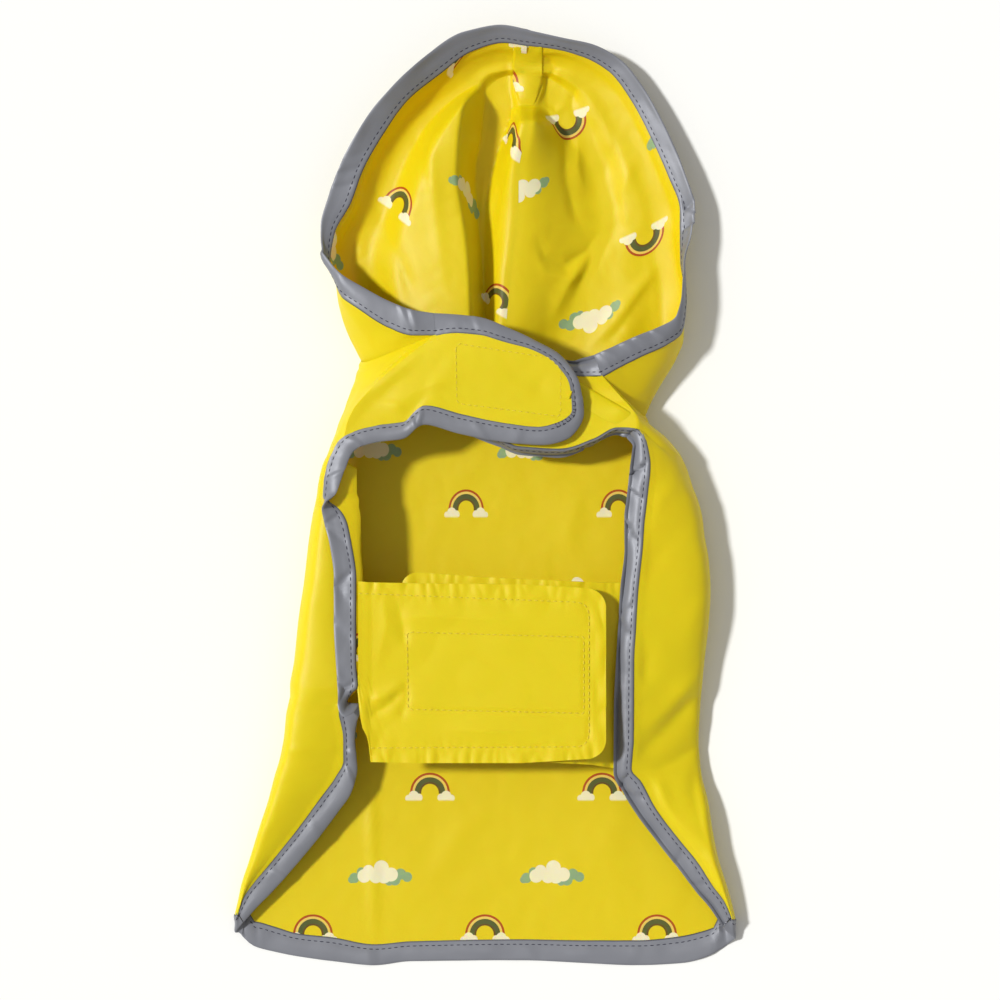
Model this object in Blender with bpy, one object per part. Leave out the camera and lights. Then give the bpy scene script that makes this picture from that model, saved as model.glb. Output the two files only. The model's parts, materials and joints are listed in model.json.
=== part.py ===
"""Dog raincoat laid on its back, belly side up: hooded cape of coated cloth, bound with reflective tape.

Frame: +Y runs from hem to hood, +X is the side of the under chest flap, +Z is up.
Tables are in millimetres. Each row is one section, from the open edge round the outer fold to the floor.
"""
import math

import bpy
import numpy as np
from mathutils import Vector
from mathutils.bvhtree import BVHTree

# Driving dimensions, millimetres
MM = 0.001
CLOTH = 1.0            # wall of the coated cloth
TAPE = 1.6             # binding tape folded over the cloth's edge
PATCH = 1.0            # hook and loop patches
SEAM_GAP = 0.3         # air between pieces that are sewn together
CORNER_GAP = 0.45      # the same where a seam bends
BEND_ROOM = 0.7 * TAPE    # more air where cloth and tape meet square
NECK_START = 1.6       # from the end of the tape's sewing line to the cloth, along the neck's row
OFF_NECK = (0.45, 0.65)    # the hood's neck edge lies this far from the body's, outwards and up the hood
CENTRE_GAP = 0.25      # each hood half keeps this far off the centre seam
FLOOR_Z = CLOTH / 2    # middle of a wall that lies on the floor
FOLD_ROUND = 0.45      # depth of an outer fold as a share of its height
EDGE_SHARE = 0.35      # most of a way that a cloth's first step inside its edge may take
FIRST_STEP = 2.5       # length of that step
SEAT_STEP = 5.0        # from an outer fold's seat to the next point inside it
FLOOR_STEPS = 9        # columns between the two outer folds
STRAP_CORNER = 9.0     # radius of the straps' free corners
MIDDLE = np.array([1.2, 0.9, 0.0])    # the tables' point that lies under the middle of the whole raincoat

# Body sections, hem to neck. free: tape's open edge. sew: where tape meets cloth. crease: turned-back fold.
# drop: how far the cloth falls behind that fold. out: outer fold in plan, height: top of that fold.
BODY_COLUMNS = (
    "station free_x free_y free_z sew_x sew_y sew_z crease_x crease_y crease_z drop out_x out_y height"
).split()
NONE = None
LEFT_SIDE = [
    (0, -109, -212, 6.5, -114, -207.5, 7.5, NONE, NONE, NONE, 0, -123.5, -210, 9),
    (1, -104, -197, 7.5, -109.5, -191.5, 8.5, NONE, NONE, NONE, 0, -120, -194, 10),
    (2, -96, -186.5, 9, -103, -179.5, 10, NONE, NONE, NONE, 0, -116, -181, 12),
    (3, -83, -171, 11, -91, -164.5, 12, NONE, NONE, NONE, 0, -111, -165, 15),
    (4, -72, -156.5, 13, -80, -149.5, 14, NONE, NONE, NONE, 0, -106, -150, 17.5),
    (5, -65, -146, 15, -72, -138.5, 16, NONE, NONE, NONE, 0, -103, -138.5, 19),
    (6, -62, -134, 17, -68, -130, 18, NONE, NONE, NONE, 0, -100, -128.5, 20.5),
    (7, -63, -120, 19.5, -68, -118.5, 20.5, NONE, NONE, NONE, 0, -98, -117.5, 22),
    (8, -62, -109, 22, -70, -107, 23, NONE, NONE, NONE, 0, -97, -107, 23),
    (9, -62, -104, 26, -69.5, -103, 24.5, -72.5, -103, 24, 0, -96, -102.5, 23.5),
    (10, -66, -100, 36.5, -66.5, -98.5, 29, -66, -98.5, 26, 1, -95, -98.5, 24),
    (11, -71, -94, 34.5, -62, -92.5, 32.5, -59, -92.5, 29.5, 2.4, -95, -93, 24.3),
    (12, -72, -81, 33, -63, -81, 32, -59, -81, 29.5, 2.4, -93, -81, 25),
    (13, -73, -61, 33, -63, -61, 32, -59, -61, 29.5, 2.4, -91, -61, 26),
    (14, -73, -40, 33, -63, -40, 32, -59, -40, 29.5, 2.4, -88, -41, 27),
    (15, -75, -23.5, 33, -65, -24.5, 32, -60, -23.5, 29.5, 2.4, -86, -23.5, 27),
    (16, -78, -11, 33, -68, -11, 32, -60, -10, 29.5, 2.4, -84, -10, 27),
    (17, -79, -5.5, 34.5, -72, -5, 32, -61, -4, 29.5, 2.4, -83, -5, 27),
    (18, -77, -2, 40, -76, -2, 32, -61, -1, 29, 2.4, -82, -2.5, 27),
    (19, -72, 2, 37, -78, 1, 32, -62, 2.5, 28.5, 2.4, -81, 0.5, 27),
    (20, -69.5, 8, 35.5, -77.5, 8, 33, -62, 8, 28.5, 2.4, -80, 7, 27),
    (21, -67, 15, 35, -76, 15.5, 33.5, -62, 14, 28.5, 2.4, -78, 15, 27),
    (22, -65, 20, 35.5, -73, 23, 34.5, -70.5, 21, 30.5, 1.5, -76, 21, 27),
    (23, -62, 24, 35, -68, 30, 34.5, NONE, NONE, NONE, 0, -75, 25.5, 27),
    (24, -51, 27.5, 35, -51, 35.5, 35, NONE, NONE, NONE, 0, -73.5, 29, 26.5),
    (25, -39, 29, 35, -39, 37, 35, NONE, NONE, NONE, 0, -72, 33, 26),
    (26, -28, 36, 36, -28, 45, 36, NONE, NONE, NONE, 0, -71, 36.5, 26),
    (27, -11, 31.5, 34.5, -11, 40.5, 35.5, NONE, NONE, NONE, 0, -69.5, 40, 25.5),
    (28, 10, 27.5, 34, 10, 36.5, 35.5, NONE, NONE, NONE, 0, -68, 43.5, 25),
    (29, 29, 26, 33.5, 27, 34.5, 35, NONE, NONE, NONE, 0, -67, 47, 25),
    (30, 42, 29, 33, 37, 36.5, 35, NONE, NONE, NONE, 0, -66, 50, 24.5),
    (31, 50, 41.5, 32.5, 45, 43, 35, NONE, NONE, NONE, 0, -65, 53, 24),
    (32, 48, 55.5, 33, 44, 55, 35, NONE, NONE, NONE, 0, -64, 55.5, 24),
    (33, 39, 70, 32.5, 37, 66, 35, NONE, NONE, NONE, 0, -63, 58, 23.5),
    (34, 25, 78, 32, 26, 73, 35, NONE, NONE, NONE, 0, -62.5, 60.5, 23),
    (35, 12, 84, 32, 11, 77.5, 35, NONE, NONE, NONE, 0, -62, 62.5, 22.5),
    (36, -1, 89, 32, -1, 81, 34.5, NONE, NONE, NONE, 0, -61, 64.5, 22),
    (37, -14, 90.5, 32, -13, 82, 34, NONE, NONE, NONE, 0, -61, 66, 21.5),
    (38, -24, 91, 32.5, -23, 80.5, 33, NONE, NONE, NONE, 0, -60, 68, 21),
]
RIGHT_SIDE = [
    (0, 110, -215, 8, 116.5, -210.5, 9, NONE, NONE, NONE, 0, 126, -212, 10),
    (1, 106, -200, 10, 112.5, -194.5, 11, NONE, NONE, NONE, 0, 122, -195, 12.5),
    (2, 99, -186.5, 11.5, 106, -181, 12.5, NONE, NONE, NONE, 0, 117, -179, 15),
    (3, 88, -172.5, 12.5, 95, -167.5, 13.5, NONE, NONE, NONE, 0, 114, -164, 15),
    (4, 77, -158, 14, 85, -154, 15, NONE, NONE, NONE, 0, 112, -151, 13),
    (5, 70, -147, 15.5, 78, -141, 16.5, NONE, NONE, NONE, 0, 109, -138.5, 10),
    (6, 65, -136, 17, 73, -134, 18, NONE, NONE, NONE, 0, 108, -129.5, 8.5),
    (7, 65, -120, 19.5, 74, -119, 20.5, NONE, NONE, NONE, 0, 107.5, -119.5, 8.5),
    (8, 65, -107, 21, 74, -107, 22, NONE, NONE, NONE, 0, 108, -107, 10.5),
    (12, 66, -81, 24, 74, -81, 25, NONE, NONE, NONE, 0, 110, -82, 15),
    (13, 67, -62, 26, 75, -62, 27, NONE, NONE, NONE, 0, 112, -63.5, 18),
    (14, 68, -45, 27, 76, -45, 28, NONE, NONE, NONE, 0, 113, -46, 19.5),
    (15, 70, -25, 28, 78, -26, 29, NONE, NONE, NONE, 0, 112, -30, 20),
    (16, 70, -11, 28.5, 79, -12, 29, NONE, NONE, NONE, 0, 110, -19, 20.5),
    (18, 71, -1, 29, 80, -3.5, 29.5, NONE, NONE, NONE, 0, 109, -10, 20.5),
    (20, 72, 7, 29.5, 81, 5, 29.5, NONE, NONE, NONE, 0, 107, -2, 20.5),
    (22, 73, 16.5, 30, 82, 17.5, 30, NONE, NONE, NONE, 0, 104, 6, 20.5),
    (22.5, 74, 25, 29.5, 80, 28.5, 30, NONE, NONE, NONE, 0, 101.5, 14, 20),
    (23, 71.5, 28.5, 26.5, 76.5, 34, 30, NONE, NONE, NONE, 0, 99.5, 18.5, 20),
    (24, 65.5, 28, 23.5, 68, 34.5, 29.5, NONE, NONE, NONE, 0, 98, 21.5, 19.5),
    (26, 54, 22.5, 22, 55, 28.5, 28.5, NONE, NONE, NONE, 0, 95, 25.5, 19),
    (28, 38.5, 17.5, 21, 37, 23.5, 27.5, NONE, NONE, NONE, 0, 91.5, 29.5, 18.5),
    (29, 18, 17, 22.5, 17, 24, 28, NONE, NONE, NONE, 0, 90, 31, 18.5),
    (30, -3, 20.5, 26, 0, 28, 30, NONE, NONE, NONE, 0, 87.5, 33, 18),
    (31, -15, 37, 29, -9, 39.5, 30.5, NONE, NONE, NONE, 0, 85.5, 34.5, 17.5),
    (32, -17, 60, 29.5, -10.5, 57.5, 30.5, NONE, NONE, NONE, 0, 84, 35.5, 17),
    (33, -4, 78, 29.5, -1.5, 71.5, 30.5, NONE, NONE, NONE, 0, 83, 36.5, 15),
    (36, 28, 74, 28.5, 28, 67, 29.5, NONE, NONE, NONE, 0, 82, 39, 12),
    (37, 45, 68, 27, 46, 61, 28, NONE, NONE, NONE, 0, 81.5, 40, 12.5),
    (37.3, 50, 69.5, 26, 51.5, 60.5, 27.2, NONE, NONE, NONE, 0, 81.3, 40.4, 12.7),
    (38, 55, 70.5, 28, 59, 60.5, 28.5, NONE, NONE, NONE, 0, 81, 41, 13),
]

# Rows of the body below the chest flaps: one at each station, and between them where an edge twists
BODY_ROWS = sorted([float(i) for i in range(24)] + [9.5, 10.5, 17.5, 18.5])

# Chest flaps: stations where a flap begins, of its two corners, and where the hood begins
FLAP_STATIONS = (23, 30, 33, 38)
FLAP_STEPS = 7
FLAP_ROWS = (0, 0.16, 0.33, 0.5, 0.67, 0.8, 0.9, 1)
FLAP_CENTRES = {-1: (-10, 55, 35), 1: (35, 48, 30)}
# The line where each flap leaves the side of the body; share is the part of the way up to the neck
ROOT_COLUMNS = "share x y z".split()
LEFT_ROOT = [
    (0, -68, 30, 34.5),
    (0.16, -66, 37, 34.5),
    (0.33, -63, 43.5, 34.5),
    (0.5, -57, 51, 34.7),
    (0.67, -49, 59.5, 34.7),
    (0.8, -40, 67, 34.3),
    (1, -23, 80.5, 33),
]
RIGHT_ROOT = [
    (0, 76.5, 34, 30),
    (0.16, 77, 37, 29.5),
    (0.33, 76, 40.5, 29),
    (0.5, 73.5, 44, 28.5),
    (0.67, 70, 48, 26.7),
    (0.8, 66, 52.5, 26.5),
    (1, 59, 60.5, 28.5),
]

# Hood ribs, neck to crown. out: outermost or lowest point of the wall. top_in / seat_in: how far inside of it
# the wall's upper bend and its seat lie (negative: outside). seam: the rib's end on the centre seam.
RIB_COLUMNS = (
    "station free_x free_y free_z sew_x sew_y sew_z out_x out_y out_z top_in top_z seat_in seat_z seam_x seam_y"
).split()
LEFT_RIBS = [
    (0, -24, 91, 32.5, -23, 80.5, 33, -60, 68, 10.5, 9.5, 21, 9.5, 0.6, 10, 55),
    (1, -34, 92.5, 32.5, -34, 80.5, 33, -63, 74, 11, 9, 22, 9, 0.6, 11, 63),
    (2, -46, 97, 32, -46, 84.5, 32, -66, 80, 11.5, 8, 23, 9, 0.6, 12, 74),
    (3, -59, 104, 31, -60, 93.5, 31, -69, 88, 12, 5, 24, 9, 0.6, 12, 86.5),
    (4, -69, 110, 30, -69, 100, 28, -71, 97, 12, 1, 22, 9, 0.6, 13, 99),
    (5, -74, 115, 29.5, -72, 105.5, 25, -72, 106, 11, 0, 19, 10, 0.8, 14, 111.5),
    (6, -79, 124, 29.5, -76, 118, 22.5, -73, 117, 10, -2, 16, 11, 1.2, 15, 124),
    (7, -80, 135, 29, -74, 131.5, 23, -69, 130, 10, -3, 17, 10, 2.5, 17, 136.5),
    (8, -76, 150, 28, -66, 146.5, 23, -61, 145, 11, -3, 18, 10, 4.5, 18, 149),
    (9, -69, 168, 27, -60, 163, 22, -55, 161, 10.5, -3, 16, 9, 5, 18, 161.5),
    (10, -57, 189, 25, -48, 184, 19, -44, 181.5, 9, -3, 14, 7, 5, 20, 174),
    (11, -45, 203, 23, -38, 197.5, 17, -34.5, 194, 8, -3, 12.5, 7, 4.5, 22, 186.5),
    (12, -28, 219, 21, -22, 211, 14, -19, 207, 7, -3, 10.5, 7, 4, 22, 196.5),
    (13, -9, 231, 20, -5, 223, 14, -3, 218, 8, -3, 11, 5, 5, 22, 202),
    (14, 9, 234.5, 19, 10, 227, 14, 11, 221.5, 8, -3, 11.5, 5, 5, 22, 206.5),
    (15, 22, 232.5, 18, 22, 225.5, 14, 22, 220, 8, -2, 11, 5, 5, 22, 210),
]
RIGHT_RIBS = [
    (0, 55, 70.5, 28, 59, 60.5, 28.5, 81, 41, 6.5, 6, 13, 6, 0.6, 10, 55),
    (1, 64, 74.5, 27.5, 67, 65, 27.5, 84, 48, 7, 6, 14, 6, 0.6, 11, 63),
    (2, 76, 80, 27, 79, 71, 26.5, 89, 57, 8, 5, 16, 6, 0.6, 12, 74),
    (3, 86, 84, 26, 91, 76.5, 25, 96, 69, 9, 3, 17, 8, 0.6, 12, 86.5),
    (4, 96, 90, 25, 99, 83.5, 20, 99.5, 80, 9, 0, 14, 9, 0.6, 13, 99),
    (5, 99, 104, 24, 101, 101, 15, 100, 100, 7, 0, 11, 10, 1, 14, 111.5),
    (6, 100, 118, 22, 99, 118, 14, 97, 117, 6, -1, 10, 11, 1.5, 15, 124),
    (7, 104, 133, 19, 99, 131.5, 13.5, 95, 130, 6.5, -2, 10, 9, 3, 17, 136.5),
    (8, 105, 145, 17, 99, 144, 13, 94, 142, 7, -3, 10, 9, 4.5, 18, 149),
    (9, 100, 163, 15.5, 93, 161, 12, 88, 159, 7.5, -3, 10, 8, 5.5, 18, 161.5),
    (10, 93, 180, 14, 85, 179, 11, 80, 177, 7, -3, 9.5, 7, 5.5, 20, 174),
    (11, 81, 202.5, 13, 75, 198, 10, 71, 195, 6.5, -3, 8.5, 7, 5, 22, 186.5),
    (12, 69, 217.5, 13, 64, 212.5, 10, 60.5, 208, 6, -3, 8, 7, 4.5, 22, 196.5),
    (13, 54, 225.5, 15, 51, 220, 11, 48, 216, 7, -3, 9, 6, 5, 22, 202),
    (14, 38, 228.5, 17, 36, 224, 13, 34.5, 220, 8, -2, 11, 5, 5, 22, 206.5),
    (15, 23, 232, 18, 23, 225.5, 14, 23, 220, 8, -2, 11, 5, 5, 22, 210),
]

# The hood's inside rests on the floor and stands up in two long ridges: the left half's flap, which ends in
# a steep edge, and the dome over the centre seam. Lines run from the neck to the crown.
RIDGE_COLUMNS = "y crest_x crest_z start_x foot_x".split()
LEFT_RIDGE = [      # rises from start_x to crest_x, then falls to foot_x
    (66, -8, 0, -50, 0),
    (78, -8, 9, -50, 0),
    (91, -7, 16, -48, 1),
    (118, -8, 18, -50, 0),
    (140, -11, 19, -54, -2),
    (160, -14, 21, -50, -3),
    (178, -13, 24, -44, -2),
    (192, -11, 23, -32, 0),
    (206, -8, 15, -20, 2),
    (218, -5, 7, -12, 3),
]
DOME_FLAT = 2.5       # half of the dome's flat top, where the centre seam runs
DOME = [            # start_x and foot_x are its left and right feet
    (57, 10, 0, 0, 30),
    (80, 12, 9, 1, 40),
    (110, 14, 12, 1, 58),
    (140, 17.3, 15, 1, 66),
    (162, 18, 18, 5, 64),
    (180, 21, 21, 11, 52),
    (189, 22, 19, 14, 42),
    (197, 22, 9, 15, 36),
    (207, 22, 5, 15, 34),
    (219, 22, 6, 14, 32),
]

# Hem: x, the sewing line's y and the tape's open edge
HEM_COLUMNS = "x sew_y free_y".split()
HEM = [
    (-122, -212, -217),
    (-114, -212.5, -224),
    (-103, -215.5, -227),
    (-93, -218.5, -229),
    (-75, -220.5, -231.5),
    (-54, -224, -233.5),
    (-36, -222.5, -231.5),
    (19, -221.5, -231),
    (52, -222, -232.5),
    (77, -222, -233.5),
    (99, -220, -232.5),
    (110, -217.5, -230),
    (120, -214.5, -225),
    (126, -214, -220),
]
HEM_REACH = 5         # stations over which the hem's curve fades into straight rows
HEM_FROM = 10         # column of the outer fold, where the hem's tape begins

# Belly straps: across columns from the sewn end to the free end (x, middle height z)
STRAP_COLUMNS = "x top_y top_z bottom_y bottom_z".split()
LEFT_STRAP = [
    (-61, -41, 33.8, -99, 33.8),
    (-59.5, -41, 33.6, -112, 33.5),
    (-56, -41.5, 33.4, -119, 33),
    (-55, -41.5, 33.2, -130, 32.6),
    (-30, -42, 32.8, -130.5, 32.4),
    (20, -42.5, 32.4, -130.5, 32),
    (61, -45, 31.4, -128, 31),
]
RIGHT_STRAP = [
    (85, -42, 20, -134, 11.5),
    (74, -42, 22.6, -134, 14),
    (64, -42, 24, -134, 14.5),
    (54, -41.5, 26, -132, 21),
    (42, -41, 27.6, -131, 27),
    (0, -39, 27.9, -129, 27.7),
    (-40, -36, 27.9, -126, 27.7),
]

# Hook and loop patches, in plan: x0, y0, x1, y1
CHEST_PATCH = (-5, 45, 24, 57)
BELLY_PATCH = (-36, -106, 40, -68)


def clear_scene():
    for obj in list(bpy.data.objects):
        bpy.data.objects.remove(obj, do_unlink=True)


class Table:
    """Sections at stations, read between rows with a smooth curve that never overshoots them."""

    def __init__(self, names, rows):
        self.names = names
        self.rows = np.array(rows, dtype=float)
        self.stations = self.rows[:, 0]
        gaps = np.diff(self.stations)[:, None]
        slopes = np.diff(self.rows, axis=0) / gaps
        inner = np.where(slopes[:-1] * slopes[1:] > 0, 2 * slopes[:-1] * slopes[1:], 0)
        total = slopes[:-1] + slopes[1:]
        inner = inner / np.where(abs(total) < 1e-9, 1, total)
        self.slopes = np.vstack([slopes[:1], inner, slopes[-1:]])

    def at(self, station):
        i = int(np.clip(np.searchsorted(self.stations, station) - 1, 0, len(self.stations) - 2))
        gap = self.stations[i + 1] - self.stations[i]
        t = np.clip((station - self.stations[i]) / gap, 0, 1)
        a, b = self.rows[i], self.rows[i + 1]
        h = (b - a) * (3 * t * t - 2 * t ** 3) + a
        h = h + gap * (self.slopes[i] * t * (1 - t) ** 2 - self.slopes[i + 1] * t * t * (1 - t))
        return dict(zip(self.names, h))


def point(row, name):
    return np.array([row[name + "_x"], row[name + "_y"], row[name + "_z"]])


def read(table, columns, name, place):
    """A column's value at a place in the first column, on straight lines between the rows."""
    table = np.array(sorted(table), dtype=float)
    return np.interp(place, table[:, 0], table[:, columns.index(name)])


def fill_creases(rows, turn_in=3.0):
    """A row with no turned-back fold gets its crease just inside the sewing line."""
    filled = []
    for row in rows:
        row = dict(zip(BODY_COLUMNS, row))
        if row["crease_x"] is None:
            sew = point(row, "sew")
            out = np.array([row["out_x"], row["out_y"], row["height"]])
            reach = min(turn_in, EDGE_SHARE * np.linalg.norm(out - sew))
            row["crease_x"], row["crease_y"], row["crease_z"] = sew + unit(out - sew) * reach
        filled.append([row[name] for name in BODY_COLUMNS])
    return filled


def smooth_step(value):
    value = np.clip(value, 0, 1)
    return value * value * (3 - 2 * value)


def curve_through(points, counts):
    """Catmull-Rom curve through the points, with the given number of steps in each span."""
    points = [np.asarray(p, dtype=float) for p in points]
    knots = [0.0]
    for a, b in zip(points, points[1:]):
        knots.append(knots[-1] + math.sqrt(max(np.linalg.norm(b - a), 1e-6)))
    tangents = []
    for i, here in enumerate(points):
        if i == 0 or i == len(points) - 1:
            j = min(i, len(points) - 2)
            tangents.append((points[j + 1] - points[j]) / (knots[j + 1] - knots[j]))
            continue
        before = (here - points[i - 1]) / (knots[i] - knots[i - 1])
        after = (points[i + 1] - here) / (knots[i + 1] - knots[i])
        span = knots[i + 1] - knots[i - 1]
        tangents.append((before * (knots[i + 1] - knots[i]) + after * (knots[i] - knots[i - 1])) / span)
    out = [points[0]]
    for i, count in enumerate(counts):
        gap = knots[i + 1] - knots[i]
        for step in range(1, count + 1):
            t = step / count
            h = points[i] + (points[i + 1] - points[i]) * (3 * t * t - 2 * t ** 3)
            out.append(h + gap * (tangents[i] * t * (1 - t) ** 2 - tangents[i + 1] * t * t * (1 - t)))
    return out


def unit(vector):
    return vector / max(np.linalg.norm(vector), 1e-6)


def tape_at(table, station):
    """A tape's open edge and its sewing line."""
    row = table.at(station)
    return point(row, "free"), point(row, "sew")


def neck_start(row, toward):
    """At the neck the sewing line ends, so the cloth keeps off its end along its own row."""
    sew = point(row, "sew")
    return sew + unit(toward - sew) * NECK_START


def cloth_start(table, station, toward):
    """Where cloth begins beside a tape: square to the sewing line, and further off where the two bend."""
    free, sew = tape_at(table, station)
    before, after = tape_at(table, station - 0.5), tape_at(table, station + 0.5)
    line = unit(after[1] - before[1])
    along, away = (v - (v @ line) * line for v in (sew - free, toward - sew))
    if np.linalg.norm(away) < EDGE_SHARE * np.linalg.norm(toward - sew):
        away = along
    along, away = unit(along), unit(away)
    ahead = along @ away
    if ahead < 0:
        beside = unit(away - ahead * along)
        return sew + along * CORNER_GAP + beside * (SEAM_GAP + TAPE / 2 - CLOTH / 2 * ahead)
    if station == FLAP_STATIONS[0]:
        return sew + along * CORNER_GAP - np.array([0, 0, TAPE / 2])
    bend = np.linalg.norm(np.cross(along, away))
    if station < FLAP_STATIONS[0]:
        twist = np.cross(unit(before[1] - before[0]), unit(after[1] - after[0]))
        bend = max(bend, np.linalg.norm(twist))
    return sew + away * (CORNER_GAP + BEND_ROOM * bend)


def side_path(sew, crease, drop, top, out, seat, floor_point):
    """Cloth from the sewing line over the turned-back fold, round the outer fold and onto the floor."""
    behind = crease + (top - crease) * 0.05
    behind[2] -= drop
    counts = (2, 1, 5, 2, 3, 1)
    path = curve_through([sew, crease, behind, top, out, seat, floor_point], counts)
    return path[:-1]


def first_crease(start, top):
    """The cloth's first point inside its edge where it isn't folded back."""
    return start + unit(top - start) * min(FIRST_STEP, EDGE_SHARE * np.linalg.norm(top - start))


def outer_fold(row, sew, across):
    """Upper bend, outermost point and seat of an outer fold; across points to the other side's fold."""
    height = row["height"]
    out = np.array([row["out_x"], row["out_y"], height / 2])
    depth = FOLD_ROUND * height
    top = out + across * min(depth, 0.4 * math.hypot(sew[0] - out[0], sew[1] - out[1]))
    top[2] = height
    seat = out + across * depth
    seat[2] = FLOOR_Z
    return top, out, seat


def body_side(table, station, across):
    """One side's path at a station, from the sewing line to the floor."""
    row = table.at(station)
    crease = point(row, "crease")
    top, out, seat = outer_fold(row, point(row, "sew"), across)
    start = cloth_start(table, station, crease)
    return side_path(start, crease, row["drop"], top, out, seat, seat + across * SEAT_STEP)


def root_at(root, share):
    return np.array([read(root, ROOT_COLUMNS, name, share) for name in "xyz"])


def flap_side(table, root, share, across):
    """The path of a row that crosses a chest flap, from the flap's root to the floor."""
    row = table.at(FLAP_STATIONS[0] + share * (FLAP_STATIONS[3] - FLAP_STATIONS[0]))
    inward = flat_direction((row["out_x"], row["out_y"]), root)
    inward = unit(inward + (across - inward) * share ** 2)
    top, out, seat = outer_fold(row, root, inward)
    start = neck_start(row, top) if share == 1 else root
    return side_path(start, first_crease(start, top), 0, top, out, seat, seat + across * SEAT_STEP)


def flap_grid(table, side, starts):
    """A chest flap's points between its four edges, row by row from its end to its root's first points."""
    begin, lower_corner, upper_corner, neck = FLAP_STATIONS
    centre = np.array(FLAP_CENTRES[side], dtype=float)
    shares = [i / FLAP_STEPS for i in range(FLAP_STEPS + 1)]
    lower = [cloth_start(table, lower_corner - s * (lower_corner - begin), centre) for s in shares]
    upper = [cloth_start(table, upper_corner + s * (neck - upper_corner), centre) for s in shares]
    lower[-1], upper[-1] = starts[0], starts[-1]
    rows = []
    for t, start in zip(FLAP_ROWS, starts):
        end = cloth_start(table, lower_corner + t * (upper_corner - lower_corner), centre)
        row = []
        for i, s in enumerate(shares):
            low = (1 - s) * lower[0] + s * lower[-1]
            high = (1 - s) * upper[0] + s * upper[-1]
            sides = (1 - s) * end + s * start
            row.append((1 - t) * lower[i] + t * upper[i] + sides - (1 - t) * low - t * high)
        rows.append(row[:-1])
    return rows


def flat_direction(a, b):
    step = np.array([b[0] - a[0], b[1] - a[1], 0.0])
    return step / np.linalg.norm(step)


def hem_dip(x):
    """How far the hem's sewing line lies below a straight line between its ends."""
    straight = read([HEM[0], HEM[-1]], HEM_COLUMNS, "sew_y", x)
    return read(HEM, HEM_COLUMNS, "sew_y", x) - straight


def hem_tape(path):
    """Tape along the hem: from the cloth's first row out to the open edge, with both corners turned up."""
    edges = []
    for p in path:
        height = max(p[2], TAPE / 2)
        sew = np.array([p[0], p[1] - 2 * SEAM_GAP, height])
        free = np.array([p[0], read(HEM, HEM_COLUMNS, "free_y", p[0]), max(height * 0.8, TAPE / 2)])
        edges.append((free, sew))
    return edges


def side_tape_stations():
    """A tape has its sections where the cloth beside it has them."""
    begin, lower_corner, upper_corner, neck = FLAP_STATIONS
    steps = range(FLAP_STEPS + 1)
    lower = [begin + (lower_corner - begin) * i / FLAP_STEPS for i in steps]
    end = [lower_corner + (upper_corner - lower_corner) * t for t in FLAP_ROWS]
    upper = [upper_corner + (neck - upper_corner) * i / FLAP_STEPS for i in steps]
    return sorted({round(station, 6) for station in BODY_ROWS + lower + end + upper})


def across_at(left, right, station):
    """Direction in plan from the left outer fold to the right one."""
    a, b = left.at(station), right.at(station)
    return flat_direction((a["out_x"], a["out_y"]), (b["out_x"], b["out_y"]))


def floor_points(path_a, path_b):
    """The stretch that lies on the floor between two side paths, without its ends."""
    step = (path_b[-1] - path_a[-1]) / FLOOR_STEPS
    return [path_a[-1] + step * i for i in range(1, FLOOR_STEPS)]


def body_grid(left, right):
    """Rows of the body panel, hem to neck; the rows under the chest flaps have empty ends."""
    rows = []
    empty = [None] * FLAP_STEPS
    begin, neck = FLAP_STATIONS[0], FLAP_STATIONS[3]
    for station in BODY_ROWS:
        across = across_at(left, right, station)
        path_a, path_b = body_side(left, station, across), body_side(right, station, -across)
        floor = floor_points(path_a, path_b)
        hem_share = 1 - smooth_step(station / HEM_REACH)
        for p in floor:
            p[1] += hem_dip(p[0]) * hem_share
            if station == 0:
                p[1] = read(HEM, HEM_COLUMNS, "sew_y", p[0])
        rows.append(empty + path_a + floor + path_b[::-1] + empty)

    paths = [(path_a, path_b)]
    for share in FLAP_ROWS[1:]:
        across = across_at(left, right, begin + share * (neck - begin))
        root_a, root_b = root_at(LEFT_ROOT, share), root_at(RIGHT_ROOT, share)
        paths.append((flap_side(left, root_a, share, across), flap_side(right, root_b, share, -across)))
    left_flap = flap_grid(left, -1, [path_a[0] for path_a, _ in paths])
    right_flap = flap_grid(right, 1, [path_b[0] for _, path_b in paths])
    rows.pop()
    for (path_a, path_b), flap_a, flap_b in zip(paths, left_flap, right_flap):
        floor = floor_points(path_a, path_b)
        rows.append(flap_a + path_a + floor + path_b[::-1] + flap_b[::-1])
    return rows


def grid_faces(rows):
    """Points of a grid and the faces between them; a place in the grid may be empty."""
    points, index = [], {}
    for r, row in enumerate(rows):
        for c, p in enumerate(row):
            if p is not None:
                index[r, c] = len(points)
                points.append(p)
    faces = []
    for r, c in index:
        corners = [(r, c), (r, c + 1), (r + 1, c + 1), (r + 1, c)]
        if all(corner in index for corner in corners):
            faces.append([index[corner] for corner in corners])
    return points, faces


def surface_tree(rows):
    """The faces through a grid of points, to measure other pieces against."""
    points, faces = grid_faces(rows)
    return BVHTree.FromPolygons([Vector(p) for p in points], faces)


def above(tree, p, clear):
    """The point, lifted to lie at least this far above the top surface under it."""
    hit = tree.ray_cast(Vector((p[0], p[1], 100)), Vector((0, 0, -1)))[0]
    if hit is not None and p[2] < hit.z + clear:
        p = np.array([p[0], p[1], hit.z + clear])
    return p


def below(tree, p, clear, reach=2.0):
    """The point, lowered to lie at least this far under the first surface over the floor."""
    for aside in (0, reach):
        hit = tree.ray_cast(Vector((p[0] + aside, p[1], 3)), Vector((0, 0, 1)))[0]
        if hit is not None and p[2] > hit.z - clear:
            p = np.array([p[0], p[1], hit.z - clear])
    return p


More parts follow.
